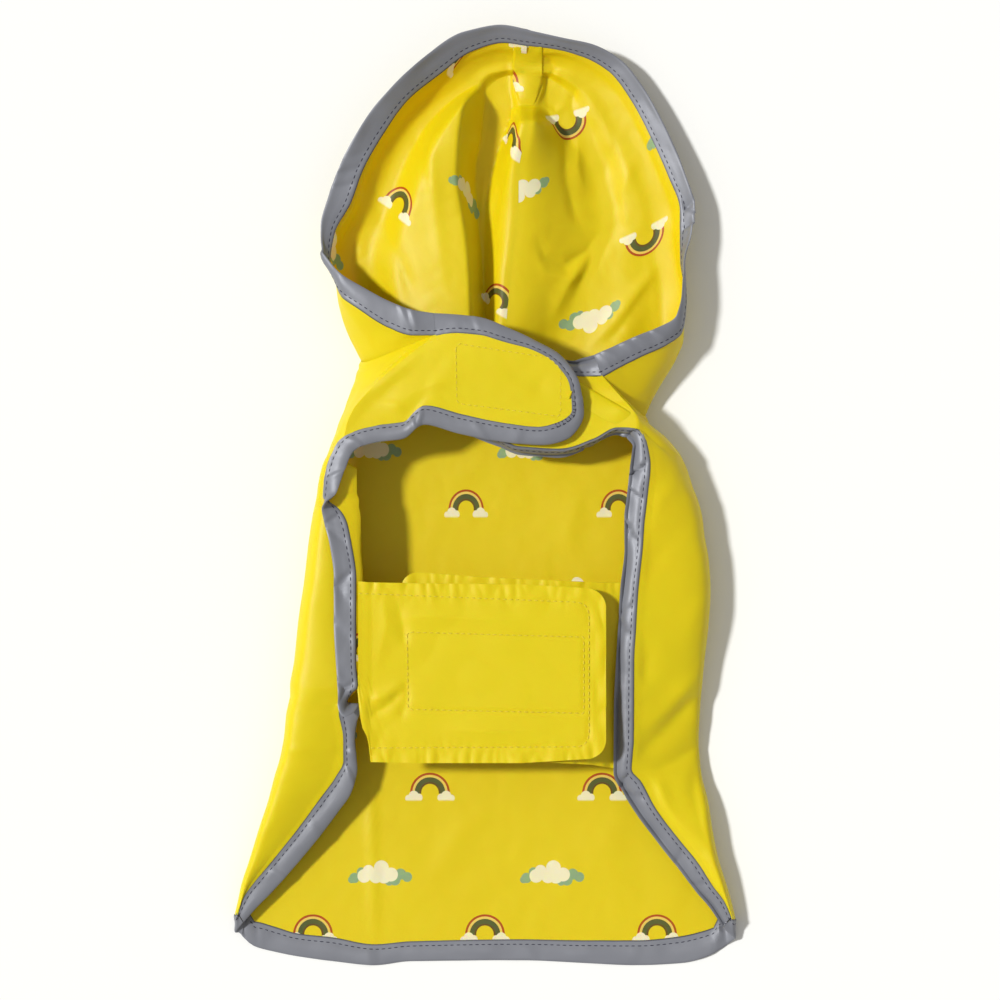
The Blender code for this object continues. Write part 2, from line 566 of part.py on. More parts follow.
def line_at(table, y):
    """A ridge's crest and feet at a place y along the hood."""
    return [read(table, RIDGE_COLUMNS, name, y) for name in RIDGE_COLUMNS[1:]]


def hood_floor(x, y):
    """Height of the hood's inside over the floor."""
    crest_x, crest_z, start_x, foot_x = line_at(LEFT_RIDGE, y)
    if x < crest_x:
        ridge = crest_z * smooth_step((x - start_x) / (crest_x - start_x)) ** 0.8
    else:
        ridge = crest_z * (1 - smooth_step((x - crest_x) / (foot_x - crest_x)))
    crest_x, crest_z, start_x, foot_x = line_at(DOME, y)
    if x < crest_x:
        dome = crest_z * smooth_step((x - start_x) / (crest_x - DOME_FLAT - start_x)) ** 0.7
    else:
        dome = crest_z * (1 - smooth_step((x - crest_x - DOME_FLAT) / (foot_x - crest_x - DOME_FLAT)))
    return FLOOR_Z + math.hypot(ridge, dome)


def rib(table, station, shift):
    """Hood cloth from the sewing line round the wall and across the inside to the centre seam."""
    row = table.at(station)
    free, sew, out = (point(row, name) for name in ("free", "sew", "out"))
    seam = np.array([row["seam_x"] + shift, row["seam_y"], 0.0])
    inward = flat_direction(out, seam)
    top = out + inward * row["top_in"]
    top[2] = row["top_z"]
    seat = out + inward * row["seat_in"]
    seat[2] = row["seat_z"]
    start = neck_start(row, top) if station == 0 else cloth_start(table, station, top)
    path = side_path(start, first_crease(start, top), 0, top, out, seat, seat + inward * SEAT_STEP)
    for t in inside_steps(seat, seam):
        x, y = seat[:2] + (seam[:2] - seat[:2]) * t
        settle = smooth_step(t * 4)
        path.append(np.array([x, y, row["seat_z"] * (1 - settle) + hood_floor(x, y) * settle]))
    return free, sew, path


def inside_steps(seat, seam):
    """Shares of the way from a rib's seat to the seam; on the left they stop on the ridge's crest and foot."""
    if seat[0] > seam[0]:
        return [i / 12 for i in range(1, 13)]
    crest_x, _, _, foot_x = line_at(LEFT_RIDGE, (seat[1] + seam[1]) / 2)
    span = seam[0] - seat[0]
    crest = np.clip((crest_x - seat[0]) / span, 0.3, 0.6)
    foot = np.clip((foot_x - seat[0]) / span, crest + 0.12, 0.8)
    steps = [crest * i / 5 for i in range(1, 6)]
    steps += [crest + (foot - crest) * i / 3 for i in range(1, 4)]
    return steps + [foot + (1 - foot) * i / 4 for i in range(1, 5)]


def hood_grid(table, stations, side):
    """Half a hood, side -1 left or 1 right, parted from the neck and from the other half by the seams' gaps."""
    table = Table(RIB_COLUMNS, table)
    off_neck = np.array([OFF_NECK[0] * side, OFF_NECK[1], 0.0])
    rows, tape = [], []
    for station in stations:
        free, sew, path = rib(table, station, side * CENTRE_GAP)
        move = off_neck * max(0, 1 - station)
        rows.append([p + move for p in path])
        tape.append((free + move, sew + move))
    return rows, tape


def strap_grid(table, across_steps=10, free_corner=STRAP_CORNER):
    """Strap rows from its upper hem to its lower hem; the free end has rounded corners."""
    xs = [row[0] for row in table]
    stations = []
    for a, b in zip(xs, xs[1:]):
        steps = max(1, round(abs(b - a) / 8))
        stations += [a + (b - a) * i / steps for i in range(steps)]
    end, sign = xs[-1], (1 if xs[-1] > xs[0] else -1)
    for angle in (60, 38, 18, 0):
        stations.append(end - sign * free_corner * (1 - math.cos(math.radians(angle))))
    stations = sorted(set(round(s, 4) for s in stations if sign * (end - s) >= 0), reverse=sign < 0)
    rows = []
    for x in stations:
        top, top_z, bottom, bottom_z = (read(table, STRAP_COLUMNS, name, x) for name in STRAP_COLUMNS[1:])
        left = sign * (end - x)
        cut = 0.0
        if left < free_corner:
            cut = free_corner - math.sqrt(free_corner ** 2 - (free_corner - left) ** 2)
        top, bottom = top - cut, bottom + cut
        ends = np.array([x, top, top_z]), np.array([x, bottom, bottom_z])
        rows.append([ends[0] + (ends[1] - ends[0]) * i / across_steps for i in range(across_steps + 1)])
    return rows


def tape_grid(edges, steps=2):
    """Rows across a tape from its open edge to the sewing line."""
    return [[free + (sew - free) * i / steps for i in range(steps + 1)] for free, sew in edges]


def material(name, colour, roughness):
    mat = bpy.data.materials.new(name)
    mat.use_nodes = True
    shader = mat.node_tree.nodes["Principled BSDF"]
    shader.inputs["Base Color"].default_value = (*colour, 1)
    shader.inputs["Roughness"].default_value = roughness
    shader.inputs["Metallic"].default_value = 0
    return mat


def grid_object(name, rows, wall, mat, flip=False):
    """A cloth wall through a grid of points, thickened evenly to both sides."""
    mesh = bpy.data.meshes.new(name)
    points, faces = grid_faces(rows)
    if flip:
        faces = [face[::-1] for face in faces]
    mesh.from_pydata([tuple((p - MIDDLE) * MM) for p in points], [], faces)
    mesh.materials.append(mat)
    mesh.shade_smooth()
    obj = bpy.data.objects.new(name, mesh)
    bpy.context.scene.collection.objects.link(obj)
    solid = obj.modifiers.new("wall", "SOLIDIFY")
    solid.thickness = wall * MM
    solid.offset = 0
    return obj


def spaced(stations, most):
    """Adds stations between rows that lie further apart than the given step."""
    out = []
    for a, b in zip(stations, stations[1:]):
        steps = max(1, math.ceil((b - a) / most))
        out += [a + (b - a) * i / steps for i in range(steps)]
    return out + [stations[-1]]


def patch_on(panel_rows, plan, offset, name, mat, steps=(8, 4)):
    """A patch that follows a panel: its points are the panel's, moved along Z by the offset."""
    tree = surface_tree(panel_rows)
    x0, y0, x1, y1 = plan
    rows = []
    for i in range(steps[0] + 1):
        row = []
        for j in range(steps[1] + 1):
            x, y = x0 + (x1 - x0) * i / steps[0], y0 + (y1 - y0) * j / steps[1]
            hit = tree.ray_cast(Vector((x, y, 100)), Vector((0, 0, -1)))[0]
            row.append(np.array([x, y, hit.z + offset]))
        rows.append(row)
    return grid_object(name, rows, PATCH, mat)


def build():
    clear_scene()
    cloth = material("coated cloth", (0.85, 0.66, 0.01), 0.45)
    tape = material("reflective tape", (0.23, 0.25, 0.30), 0.4)
    hook = material("hook and loop", (0.80, 0.62, 0.02), 0.9)

    left = Table(BODY_COLUMNS, fill_creases(LEFT_SIDE))
    right = Table(BODY_COLUMNS, fill_creases(RIGHT_SIDE))
    body = body_grid(left, right)
    left_tape = [tape_at(left, station) for station in side_tape_stations()]
    right_tape = [tape_at(right, station) for station in side_tape_stations()]
    grid_object("body_panel", body, CLOTH, cloth)
    grid_object("left_edge_binding", tape_grid(left_tape), TAPE, tape)
    grid_object("right_edge_binding", tape_grid(right_tape), TAPE, tape, flip=True)

    ribs = spaced([row[0] for row in LEFT_RIBS], 0.5)
    left_hood, left_rim = hood_grid(LEFT_RIBS, ribs, -1)
    right_hood, right_rim = hood_grid(RIGHT_RIBS, ribs, 1)
    grid_object("hood_left", left_hood, CLOTH, cloth)
    grid_object("hood_right", right_hood, CLOTH, cloth, flip=True)
    rim = left_rim + right_rim[::-1][1:]
    grid_object("hood_binding", tape_grid(rim), TAPE, tape)

    hem = body[0][FLAP_STEPS:-FLAP_STEPS][HEM_FROM:-HEM_FROM]
    grid_object("hem_binding", tape_grid(hem_tape(hem)), TAPE, tape, flip=True)

    sides = [row[FLAP_STEPS:-FLAP_STEPS] for row in body[:len(BODY_ROWS)]]
    left_cover = surface_tree([[free] + row for row, (free, sew) in zip(sides, left_tape)])
    right_cover = surface_tree([row + [free] for row, (free, sew) in zip(sides, right_tape)])
    clear = (CLOTH + TAPE) / 2 + SEAM_GAP
    top_strap = [[above(left_cover, p, CLOTH + SEAM_GAP) for p in row] for row in strap_grid(LEFT_STRAP)]
    under_strap = [[below(right_cover, p, clear) for p in row] for row in strap_grid(RIGHT_STRAP)]
    grid_object("belly_strap_left", top_strap, CLOTH, cloth)
    grid_object("belly_strap_right", under_strap, CLOTH, cloth, flip=True)

    flaps = body[len(BODY_ROWS) - 1:]
    right_flap = [row[-FLAP_STEPS - HEM_FROM + 2:] for row in flaps]
    beneath = -(CLOTH + PATCH) / 2 - SEAM_GAP
    upon = (CLOTH + PATCH) / 2 + 2 * SEAM_GAP
    patch_on(flaps, CHEST_PATCH, beneath, "chest_hook_patch", hook)
    patch_on(right_flap, CHEST_PATCH, upon, "chest_loop_patch", hook)
    patch_on(top_strap, BELLY_PATCH, beneath, "belly_hook_patch", hook)
    patch_on(under_strap, BELLY_PATCH, upon, "belly_loop_patch", hook)


build()
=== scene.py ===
"""Looks of a dog raincoat that lies on its back: coated cloth printed inside and bound with reflective tape.

The tables repeat the part's own sections, in millimetres. Cloth is a thin shell through those sections, with
its creases laid in one by one; tape is a strip folded over the cloth's edge; Geometry Nodes set the stitches.
"""
import json
import math

import bpy
import numpy as np
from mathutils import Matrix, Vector, noise
from mathutils.bvhtree import BVHTree
from mathutils.kdtree import KDTree

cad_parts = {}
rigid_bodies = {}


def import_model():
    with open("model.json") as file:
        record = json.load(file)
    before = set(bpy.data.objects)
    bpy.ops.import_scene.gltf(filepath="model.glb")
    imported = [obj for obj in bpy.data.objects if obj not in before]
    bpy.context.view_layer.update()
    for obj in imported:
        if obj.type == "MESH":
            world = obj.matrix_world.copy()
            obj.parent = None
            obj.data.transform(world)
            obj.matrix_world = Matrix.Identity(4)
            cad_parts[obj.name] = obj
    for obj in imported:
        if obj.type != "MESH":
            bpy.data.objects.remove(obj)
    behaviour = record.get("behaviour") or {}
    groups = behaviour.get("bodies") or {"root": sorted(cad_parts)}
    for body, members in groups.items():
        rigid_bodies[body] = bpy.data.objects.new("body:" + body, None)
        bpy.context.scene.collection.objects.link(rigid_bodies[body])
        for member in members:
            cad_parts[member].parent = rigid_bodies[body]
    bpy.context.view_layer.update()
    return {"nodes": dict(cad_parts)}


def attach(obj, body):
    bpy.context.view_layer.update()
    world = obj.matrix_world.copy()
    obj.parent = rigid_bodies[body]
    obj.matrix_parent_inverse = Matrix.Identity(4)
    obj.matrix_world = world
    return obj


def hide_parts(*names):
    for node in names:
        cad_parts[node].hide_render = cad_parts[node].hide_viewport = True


# Driving dimensions, millimetres
MM = 0.001
CLOTH = 0.5  # coated cloth and its hems, as they look
TAPE = 1.3  # tape folded over the cloth's edge
TAPE_OVERLAP = 0.9  # how far the tape reaches over the cloth past the sewing line
FLOOR_Z = 0.5  # middle of the cloth where it lies on the floor
FOLD_ROUND = 0.45  # depth of an outer fold as a share of its height
BEND_ROUND = 0.16  # how far inside its outermost point a fold's upper bend lies, as such a share
BEND_REACH = 0.4  # most of the way to the sewing line that this bend may take
BEHIND_SHARE = 0.05  # share of the way to that bend by which the cloth has dropped behind its crease
EDGE_SHARE = 0.35  # most of a way that a cloth's first step inside its edge may take
FIRST_STEP = 2.5  # length of that step
TURN_IN = 3.0  # the same on the body's sides, where no fold is turned back
SEAT_STEP = 5.0  # from an outer fold's seat to the next point inside it
SEAT_SHARE = 0.3  # most of the way to the centre seam that this step may take
NECK_LAP = 0.3  # the hood's neck edge laps over the body's by this much
STRAP_CORNER = 9.0  # radius of the straps' free corners
MIDDLE = np.array([1.2, 0.9, 0.0])  # the tables' point under the middle of the whole raincoat

# Steps between the points that the tables give, chosen for cells of about 2 mm
SIDE_STEPS = (4, 2, 14, 8, 8, 3)
FLOOR_STEPS = 96
ROWS_PER_STATION = 7
FLAP_STEPS = 52
FLAP_ROW_STEPS = 36
RIBS_PER_STATION = 12
TAPE_PER_STATION = 12
INSIDE_STEPS = (24, 16, 20)
STRAP_STEPS = (110, 90)  # points along a strap before its corners, and across it
CORNER_STEPS = 14
STRIP_STEP = 1.5
SHARP_ANGLE = 50  # degrees between faces from which an edge is shaded sharp
SKY = 200.0  # higher than all cloth, to look down from
BESIDE_Z = 9.0  # height from which a strip's point beside the cloth looks for the nearest cloth

# Creases and facets of the cloth
CREASE_FADE = 7.0  # creases run out this close to a sewn edge
SHARPNESS = 0.35  # share of a crease's height that is a sharp line
UNEVEN = 0.2  # share of its height that comes and goes along it
FACET_HEIGHT = 0.5
FACETS = ((26, 0), (9, 50))  # size of the facets, and a shift so that the two sizes differ
HOOD_INSIDE = (34, 4)  # column from which the hood's creases begin, and over how many columns
HOOD_WALL = (20, 8)  # column from which its wall's own facets end, and over how many columns
HOOD_TURNED = (5, 3)  # station from which the wall has the inside's creases too, and over how many
HEM_WIDTH = 7.5  # folded hems of the straps
HEM_PUCKER = 1.3  # height of the puckers along them
HEM_FADE = 8.0  # and how far these reach
STRAP_WAVES = 0.7  # height of the straps' broad waves

# Tape across: share from the sewing line to the open edge, and half thickness as a share of half the tape's;
# the first row is the lip on the cloth, the fourth carries the stitches
TAPE_SECTION = [
    (-0.08, 0.62), (0, 0.78), (0.08, 0.8), (0.17, 0.62), (0.26, 0.82), (0.45, 0.98), (0.65, 1.0),
    (0.82, 0.95), (0.92, 0.8), (0.97, 0.5), (1.0, 0.0),
]
STITCH_COLUMN = 3
STITCH_PITCH = 3.1
STITCH_LENGTH = 2.2
STITCH_LIFT = 0.1  # of a thread's middle over the surface
THREAD = 0.5
BARTACKS = (29.9, 31.4, 10)  # stations of the first and the last, and their number
BARTACK_SHARES = (-0.02, 0.06, 0.14)  # places across the tape, as in its section
BARTACK_THREAD = (0.8, 1.1, 0.35)  # pitch, length and thickness
HEM_CUT = 3  # columns at each end of the hem that the side tapes cover
HEM_STEP = 4  # rows from the hem to the line that its tape's lip heads for

# Waves along a tape: size, turns across the tape and seed of the noise
PUCKERS = (3.4, 7, 0.5)
PUCKER_HEIGHT = 0.22
BROAD_WAVES = (13, 2, 4.5)
BROAD_HEIGHT = 0.45
# How far each tape bulges between its sewing line and its open edge, and the shares of its width where it is
# highest and over which it falls
BULGES = {
    "hood_binding": (0.5, 0.6, 0.24),
    "left_edge_binding": (0.6, 0.6, 0.24),
    "right_edge_binding": (3.8, 0.78, 0.22),
    "hem_binding": (0.4, 0.5, 0.24),
}
# Pleats in the tapes, in the order of the tape: station, height, width and lean, millimetres. A pleat rises
# slowly and falls at once, so it shows as one dark line
PLEAT_FALL = 0.5
PLEATS = {
    "hood_binding": [
        (0.8, 1.4, 3, 0.3), (1.05, 0.9, 2, 0.5), (5.6, 1.4, 4, 0.6), (8.6, 1.2, 4, -0.5),
        (9.05, 1.2, 4, -0.8), (9.4, 0.8, 3, -0.8), (21.9, 1.3, 4, 0.6), (22.2, 1.0, 3, -0.6),
        (22.9, 1.6, 4, -0.4), (26.9, 1.3, 3, 0.5), (27.6, 1.5, 4, 0.8), (28.1, 0.9, 3, 0.8),
        (28.8, 1.5, 4, 0.7), (29.3, 1.1, 3, 0.4),
    ],
    "left_edge_binding": [
        (1.6, 0.7, 4, 0.3), (3.4, 0.6, 5, -0.4), (5.8, 1.3, 4, -0.5), (6.4, 0.9, 3, 0.4),
        (10.4, 1.6, 4, 0.9), (11.3, 0.9, 4, -0.6), (12.6, 1.2, 5, 1.0), (13.4, 1.4, 5, 1.1),
        (14.3, 1.3, 5, -0.9), (15.2, 1.2, 4, 0.8), (16.6, 0.8, 4, -0.6), (20.2, 0.9, 3, 0.5),
        (23.1, 0.9, 3, 0.6), (25.4, 1.3, 3, 0.4), (25.9, 1.3, 3, -0.3), (27.3, 1.0, 4, 0.8),
        (28.6, 0.7, 4, -0.5), (31.4, 0.7, 3, 0.4), (36.0, 0.6, 4, 0.4),
    ],
    "right_edge_binding": [
        (1.2, 0.8, 4, 0.5), (2.6, 0.9, 5, -0.5), (4.4, 1.5, 5, 0.9), (5.8, 1.8, 5, -0.5),
        (12.7, 1.5, 5, 1.2), (13.6, 1.0, 4, -0.6), (15.2, 2.0, 6, 1.3), (18.5, 1.0, 4, 0.5),
        (22.1, 2.0, 5, -0.9), (23.2, 1.6, 3, 0.3), (25.0, 1.2, 3, 0.6), (27.1, 1.2, 4, -0.6),
    ],
    "hem_binding": [
        (2.6, 1.0, 2, 0.1), (2.9, 1.2, 2, 0.1), (3.2, 0.9, 2, -0.1), (5.0, 0.6, 8, 0.0), (7.7, 0.4, 6, 0.4),
        (9.6, 0.4, 6, -0.4), (11.0, 1.5, 5, -0.2),
    ],
}
# Print, millimetres on the flat pattern
REPEAT = ((86.0, 0.0), (-27.5, 70.8))
RAINBOW_AT = (1.25, -218.0)
CLOUD_AT = (-52.25, -187.5)
RAINBOW = [(0, None), (4.3, "#5a4014"), (5.2, "#46542a"), (7.6, "#e2c45c"), (8.8, "#a8400c"), (9.9, None)]
FEET_TOP = -0.6
FEET_BOTTOM = -4.4
FEET = [(5.8, -2.6, 2.2), (8.1, -1.6, 2.6), (10.6, -2.9, 1.9), (8.0, -3.4, 2.4)]
CREAM_CLOUD = [
    (-6.9, -1.4, 3.5), (-4.7, 1.2, 3.0), (1.7, 2.7, 3.8), (6.5, -0.7, 3.6), (-1.0, -1.5, 3.6),
    (3.0, -1.6, 3.7),
]
SAGE_CLOUD = [
    (-11.7, -2.4, 2.7), (-13.2, -3.3, 1.9), (-8.3, 0.6, 2.4), (11.3, -0.5, 2.9), (14.6, -1.9, 2.6),
    (8.4, -3.3, 3.0), (5.5, -4.4, 2.0),
]
PRINT_EDGE = 0.25
# The back is gathered towards the chest: from this y, over this length, the print shifts and is drawn in by a
# share of its x
CHEST_GATHER = (-110.0, 80.0, 14.0, 0.13)
# Turn of the print on the hood's halves, degrees, the plan place of one rainbow, and how fast the print turns
# across the half, with the x where it isn't turned further
HOOD_PRINT = {-1: (33.0, (-40.0, 145.0), 0.0, 0.0), 1: (170.0, (81.0, 131.0), 0.006, 30.0)}
STRAP_PATTERN_AT = (40, 10)

# Surfaces: colours, pitch of the threads and depth of relief in millimetres, and the cloth's glow by colour
OUTSIDE = "#dbc806"
GROUND = "#dbc405"
DEEP = "#cca400"
CREAM = "#e9e0bc"
SAGE = "#86a67c"
TAPE_LIGHT = "#82848b"
TAPE_DARK = "#65676f"
# painted shade for the tape's lip, where it laps the cloth
TAPE_LIP_SHADE = "#1d1d24"
NAVY = ("#23243a", "#101018")
YELLOW = ("#e6d23c", "#b89a18")
PILE = ("#c8a81c", "#8a6f10")
PAPER = ("#efefec", "#f0eee8")
THREAD_PITCH = 0.45
TAPE_THREAD_PITCH = 0.4
CLOTH_RELIEF = 0.035
TAPE_RELIEF = 0.02
PILE_RELIEF = 0.4
CLOTH_GLOW = (1.0, 0.6, 0.02)

# Light and camera: degrees and metres; the camera looks straight down
SUN_TURN = (0, -40, -13)
SUN_SIZE = 6
SUN_POWER = 3.1
FILL_COLOUR = (1.0, 0.98, 0.95, 1)
FILL_POWER = 0.43
FLOOR_SIZE = 6
CAMERA_AT = (0.00755, -0.0019)
CAMERA_LENS = 150
CAMERA_REACH = 20
PICTURE_SIZE = 0.5

# Body sections, hem to neck. free: tape's open edge. sew: where tape meets cloth. crease: turned-back fold.
# drop: how far the cloth falls behind that fold. out: outer fold in plan, height: top of that fold.
# Rows without a turned-back fold leave out its crease and drop.
BODY_COLUMNS = (
    "station free_x free_y free_z sew_x sew_y sew_z crease_x crease_y crease_z drop out_x out_y height"
)
LEFT_SIDE = [
    (0, -119, -211.5, 6, -121.5, -206.5, 7.5, -123.5, -208.5, 8),
    (0.6, -112, -203.5, 7, -118, -198, 8, -121.5, -200, 9),
    (1, -105, -196.5, 7.5, -112, -190, 8.5, -120, -193, 10),
    (2, -96, -186.5, 9, -103, -179.5, 10, -116, -181, 12),
    (3, -83, -171, 11, -91, -164.5, 12, -111, -165, 15),
    (4, -72, -156.5, 13, -80, -149.5, 14, -106, -150, 17.5),
    (5, -65, -146, 15, -72, -138.5, 16, -103, -138.5, 19),
    (6, -62, -134, 17, -68, -130, 18, -100, -128.5, 20.5),
    (7, -63, -120, 19.5, -68, -118.5, 20.5, -98, -117.5, 22),
    (8, -62, -111, 22, -70, -107, 23, -97, -107, 23),
    (9, -60.5, -105.5, 26, -69.5, -103, 24.5, -72.5, -103, 24, 0, -96, -102.5, 23.5),
    (9.5, -60.5, -101.5, 30, -68, -100.8, 26.8, -69.3, -100.8, 25, 0.5, -95.5, -100.5, 23.8),
    (9.8, -64, -106, 34, -67.1, -99.4, 28.1, -67.3, -99.4, 25.6, 0.8, -95.2, -99.3, 23.9),
    (10, -67.5, -107.5, 35.5, -66.5, -98.5, 29, -66, -98.5, 26, 1, -95, -98.5, 24),
    (10.5, -70.5, -103, 35.5, -64.2, -95.4, 31, -62.5, -95.4, 28, 1.7, -95, -95.7, 24.1),
    (11, -71, -94, 34.5, -62, -92.5, 32.5, -59, -92.5, 29.5, 2.4, -95, -93, 24.3),
    (12, -72, -81, 33, -63, -81, 32, -59, -81, 29.5, 2.4, -93, -81, 25),
    (13, -73, -61, 33, -63, -61, 32, -59, -61, 29.5, 2.4, -91, -61, 26),
    (14, -73, -40, 33, -63, -40, 32, -59, -40, 29.5, 2.4, -88, -41, 27),
    (15, -75, -23.5, 33, -65, -24.5, 32, -60, -23.5, 29.5, 2.4, -86, -23.5, 27),
    (16, -78, -11, 33, -68, -11, 32, -60, -10, 29.5, 2.4, -84, -10, 27),
    (17, -79, -5.5, 34.5, -72, -5, 32, -61, -4, 29.5, 2.4, -83, -5, 27),
    (18, -77, -2, 40, -76, -2, 32, -61, -1, 29, 2.4, -82, -2.5, 27),
    (19, -72, 2, 37, -78, 1, 32, -62, 2.5, 28.5, 2.4, -81, 0.5, 27),
    (20, -69.5, 8, 35.5, -77.5, 8, 33, -62, 8, 28.5, 2.4, -80, 7, 27),
    (21, -67, 15, 35, -76, 15.5, 33.5, -62, 14, 28.5, 2.4, -78, 15, 27),
    (22, -65, 20, 35.5, -73, 23, 34.5, -70.5, 21, 30.5, 1.5, -76, 21, 27),
    (23, -62, 24, 35, -68, 30, 34.5, -75, 25.5, 27),
    (24, -51, 27.5, 35, -51, 35.5, 35, -73.5, 29, 26.5),
    (25, -39, 29, 35, -39, 37, 35, -72, 33, 26),
    (26, -28, 36, 36, -28, 45, 36, -71, 36.5, 26),
    (27, -11, 31.5, 34.5, -11, 40.5, 35.5, -69.5, 40, 25.5),
    (28, 10, 27.5, 34, 10, 36.5, 35.5, -68, 43.5, 25),
    (29, 29, 26, 33.5, 27, 34.5, 35, -67, 47, 25),
    (30, 42, 29, 33, 37, 36.5, 35, -66, 50, 24.5),
    (31, 50, 41.5, 32.5, 45, 43, 35, -65, 53, 24),
    (32, 48, 55.5, 33, 44, 55, 35, -64, 55.5, 24),
    (33, 39, 70, 32.5, 37, 66, 35, -63, 58, 23.5),
    (34, 25, 78, 32, 26, 73, 35, -62.5, 60.5, 23),
    (35, 12, 84, 32, 11, 77.5, 35, -62, 62.5, 22.5),
    (36, -1, 89, 32, -1, 81, 34.5, -61, 64.5, 22),
    (37, -14, 90.5, 32, -13, 82, 34, -61, 66, 21.5),
    (38, -24, 91, 32.5, -23, 80.5, 33, -60, 68, 21),
]
RIGHT_SIDE = [
    (0, 119.5, -214, 7.5, 123.5, -208.5, 9.5, 126, -210.5, 10),
    (0.6, 113.5, -205, 9.5, 119.5, -200, 11, 124, -202, 12),
    (1, 107.5, -198, 10, 114, -193, 12, 122, -195, 13),
    (2, 99, -186.5, 11.5, 106, -181, 12.5, 117, -179, 15),
    (3, 88, -172.5, 12.5, 95, -167.5, 13.5, 114, -164, 15),
    (4, 77, -158, 14, 85, -154, 15, 112, -151, 13),
    (5, 70, -147, 15.5, 78, -141, 16.5, 109, -138.5, 10),
    (6, 65, -136, 17, 73, -134, 18, 108, -129.5, 8.5),
    (7, 65, -120, 19.5, 74, -119, 20.5, 107.5, -119.5, 8.5),
    (8, 65, -107, 21, 74, -107, 22, 108, -107, 10.5),
    (12, 66, -81, 24, 74, -81, 25, 110, -82, 15),
    (13, 67, -62, 26, 75, -62, 27, 112, -63.5, 18),
    (14, 68, -45, 27, 76, -45, 28, 113, -46, 19.5),
    (15, 70, -25, 28, 78, -26, 29, 112, -30, 20),
    (16, 70, -11, 28.5, 79, -12, 29, 110, -19, 20.5),
    (18, 71, -1, 29, 80, -3.5, 29.5, 109, -10, 20.5),
    (20, 72, 7, 29.5, 81, 5, 29.5, 107, -2, 20.5),
    (22, 73, 16.5, 30, 82, 17.5, 30, 104, 6, 20.5),
    (22.5, 74, 25, 29.5, 80, 28.5, 30, 101.5, 14, 20),
    (23, 71.5, 28.5, 26.5, 76.5, 34, 30, 99.5, 18.5, 20),
    (24, 66.5, 30, 22.5, 68, 34.5, 29.5, 98, 21.5, 19.5),
    (26, 54.5, 24.5, 20.5, 55, 28.5, 28.5, 95, 25.5, 19),
    (28, 38, 19.5, 19.5, 37, 23.5, 27.5, 91.5, 29.5, 18.5),
    (29, 17.5, 20.5, 20.5, 17, 25, 28, 90, 31, 18.5),
    (29.5, 7, 25, 23, 8, 29, 29, 88.7, 32, 18.3),
    (30, -4, 29.5, 26, -1, 34, 30, 87.5, 33, 18),
    (31, -15, 37, 29, -9, 39.5, 30.5, 85.5, 34.5, 17.5),
    (32, -17, 60, 29.5, -10.5, 57.5, 30.5, 84, 35.5, 17),
    (33, -4, 78, 29.5, -1.5, 71.5, 30.5, 83, 36.5, 15),
    (36, 28, 74, 28.5, 28, 67, 29.5, 82, 39, 12),
    (37, 45, 68, 27, 46, 61, 28, 81.5, 40, 12.5),
    (37.3, 50, 69.5, 26, 51.5, 60.5, 27.2, 81.3, 40.4, 12.7),
    (38, 55, 70.5, 28, 59, 60.5, 28.5, 81, 41, 13),
]

# Chest flaps: stations where a flap begins, of its two corners, and where the hood begins
FLAP_STATIONS = (23, 30, 33, 38)
FLAP_CENTRES = {-1: (-10, 55, 35), 1: (35, 48, 30)}
# The line where each flap leaves the side of the body; share is the part of the way up to the neck
ROOT_COLUMNS = "share x y z"
LEFT_ROOT = [
    (0, -68, 30, 34.5), (0.16, -66, 37, 34.5), (0.33, -63, 43.5, 34.5), (0.5, -57, 51, 34.7),
    (0.67, -49, 59.5, 34.7), (0.8, -40, 67, 34.3), (1, -23, 80.5, 33),
]
RIGHT_ROOT = [
    (0, 76.5, 34, 30), (0.16, 77, 37, 29.5), (0.33, 76, 40.5, 29), (0.5, 73.5, 44, 28.5),
    (0.67, 70, 48, 26.7), (0.8, 66, 52.5, 26.5), (1, 59, 60.5, 28.5),
]

# Hood ribs, neck to crown. out: outermost or lowest point of the wall. top_in / seat_in: how far inside of it
# the wall's upper bend and its seat lie (negative: outside).
RIB_COLUMNS = "station free_x free_y free_z sew_x sew_y sew_z out_x out_y out_z top_in top_z seat_in seat_z"
LEFT_RIBS = [
    (0, -24, 91, 32.5, -23, 80.5, 33, -60, 68, 10.5, 9.5, 21, 9.5, 0.6),
    (1, -34, 92.5, 32.5, -34, 80.5, 33, -63, 74, 11, 9, 22, 9, 0.6),
    (2, -46, 97, 32, -46, 84.5, 32, -66, 80, 11.5, 8, 23, 9, 0.6),
    (3, -59, 104, 31, -60, 93.5, 31, -69, 88, 12, 5, 24, 9, 0.6),
    (4, -69, 110, 30, -69, 100, 28, -71, 97, 12, 1, 22, 8, 1.5),
    (5, -74, 115, 27, -72, 105.5, 24.5, -72, 106, 11, 0, 19, 8, 3),
    (6, -79, 124, 24, -76, 118, 21, -73, 117, 10.5, -2, 17, 8, 4.5),
    (7, -80, 135, 21.5, -74, 131.5, 19.5, -69, 130, 10.5, -3, 16.5, 7, 6),
    (8, -76, 150, 20, -66, 146.5, 18.5, -61, 145, 11, -3, 16, 7, 7),
    (9, -69, 168, 20, -60, 163, 17.5, -55, 161, 10.5, -3, 15, 7, 6.5),
    (10, -57, 189, 20.5, -48, 184, 16, -44, 181.5, 9, -3, 13, 6, 5.5),
    (11, -45, 203, 23, -38, 197.5, 17, -34.5, 194, 8, -3, 12.5, 7, 4.5),
    (12, -28, 219, 21, -22, 211, 14, -19, 207, 7, -3, 10.5, 7, 4),
    (13, -9, 231, 20, -5, 223, 14, -3, 218, 8, -3, 11, 5, 5),
    (14, 9, 234.5, 19, 10, 227, 14, 11, 221.5, 8, -3, 11.5, 5, 5),
    (15, 22, 232.5, 18, 22, 225.5, 14, 22, 220, 8, -2, 11, 5, 5),
]
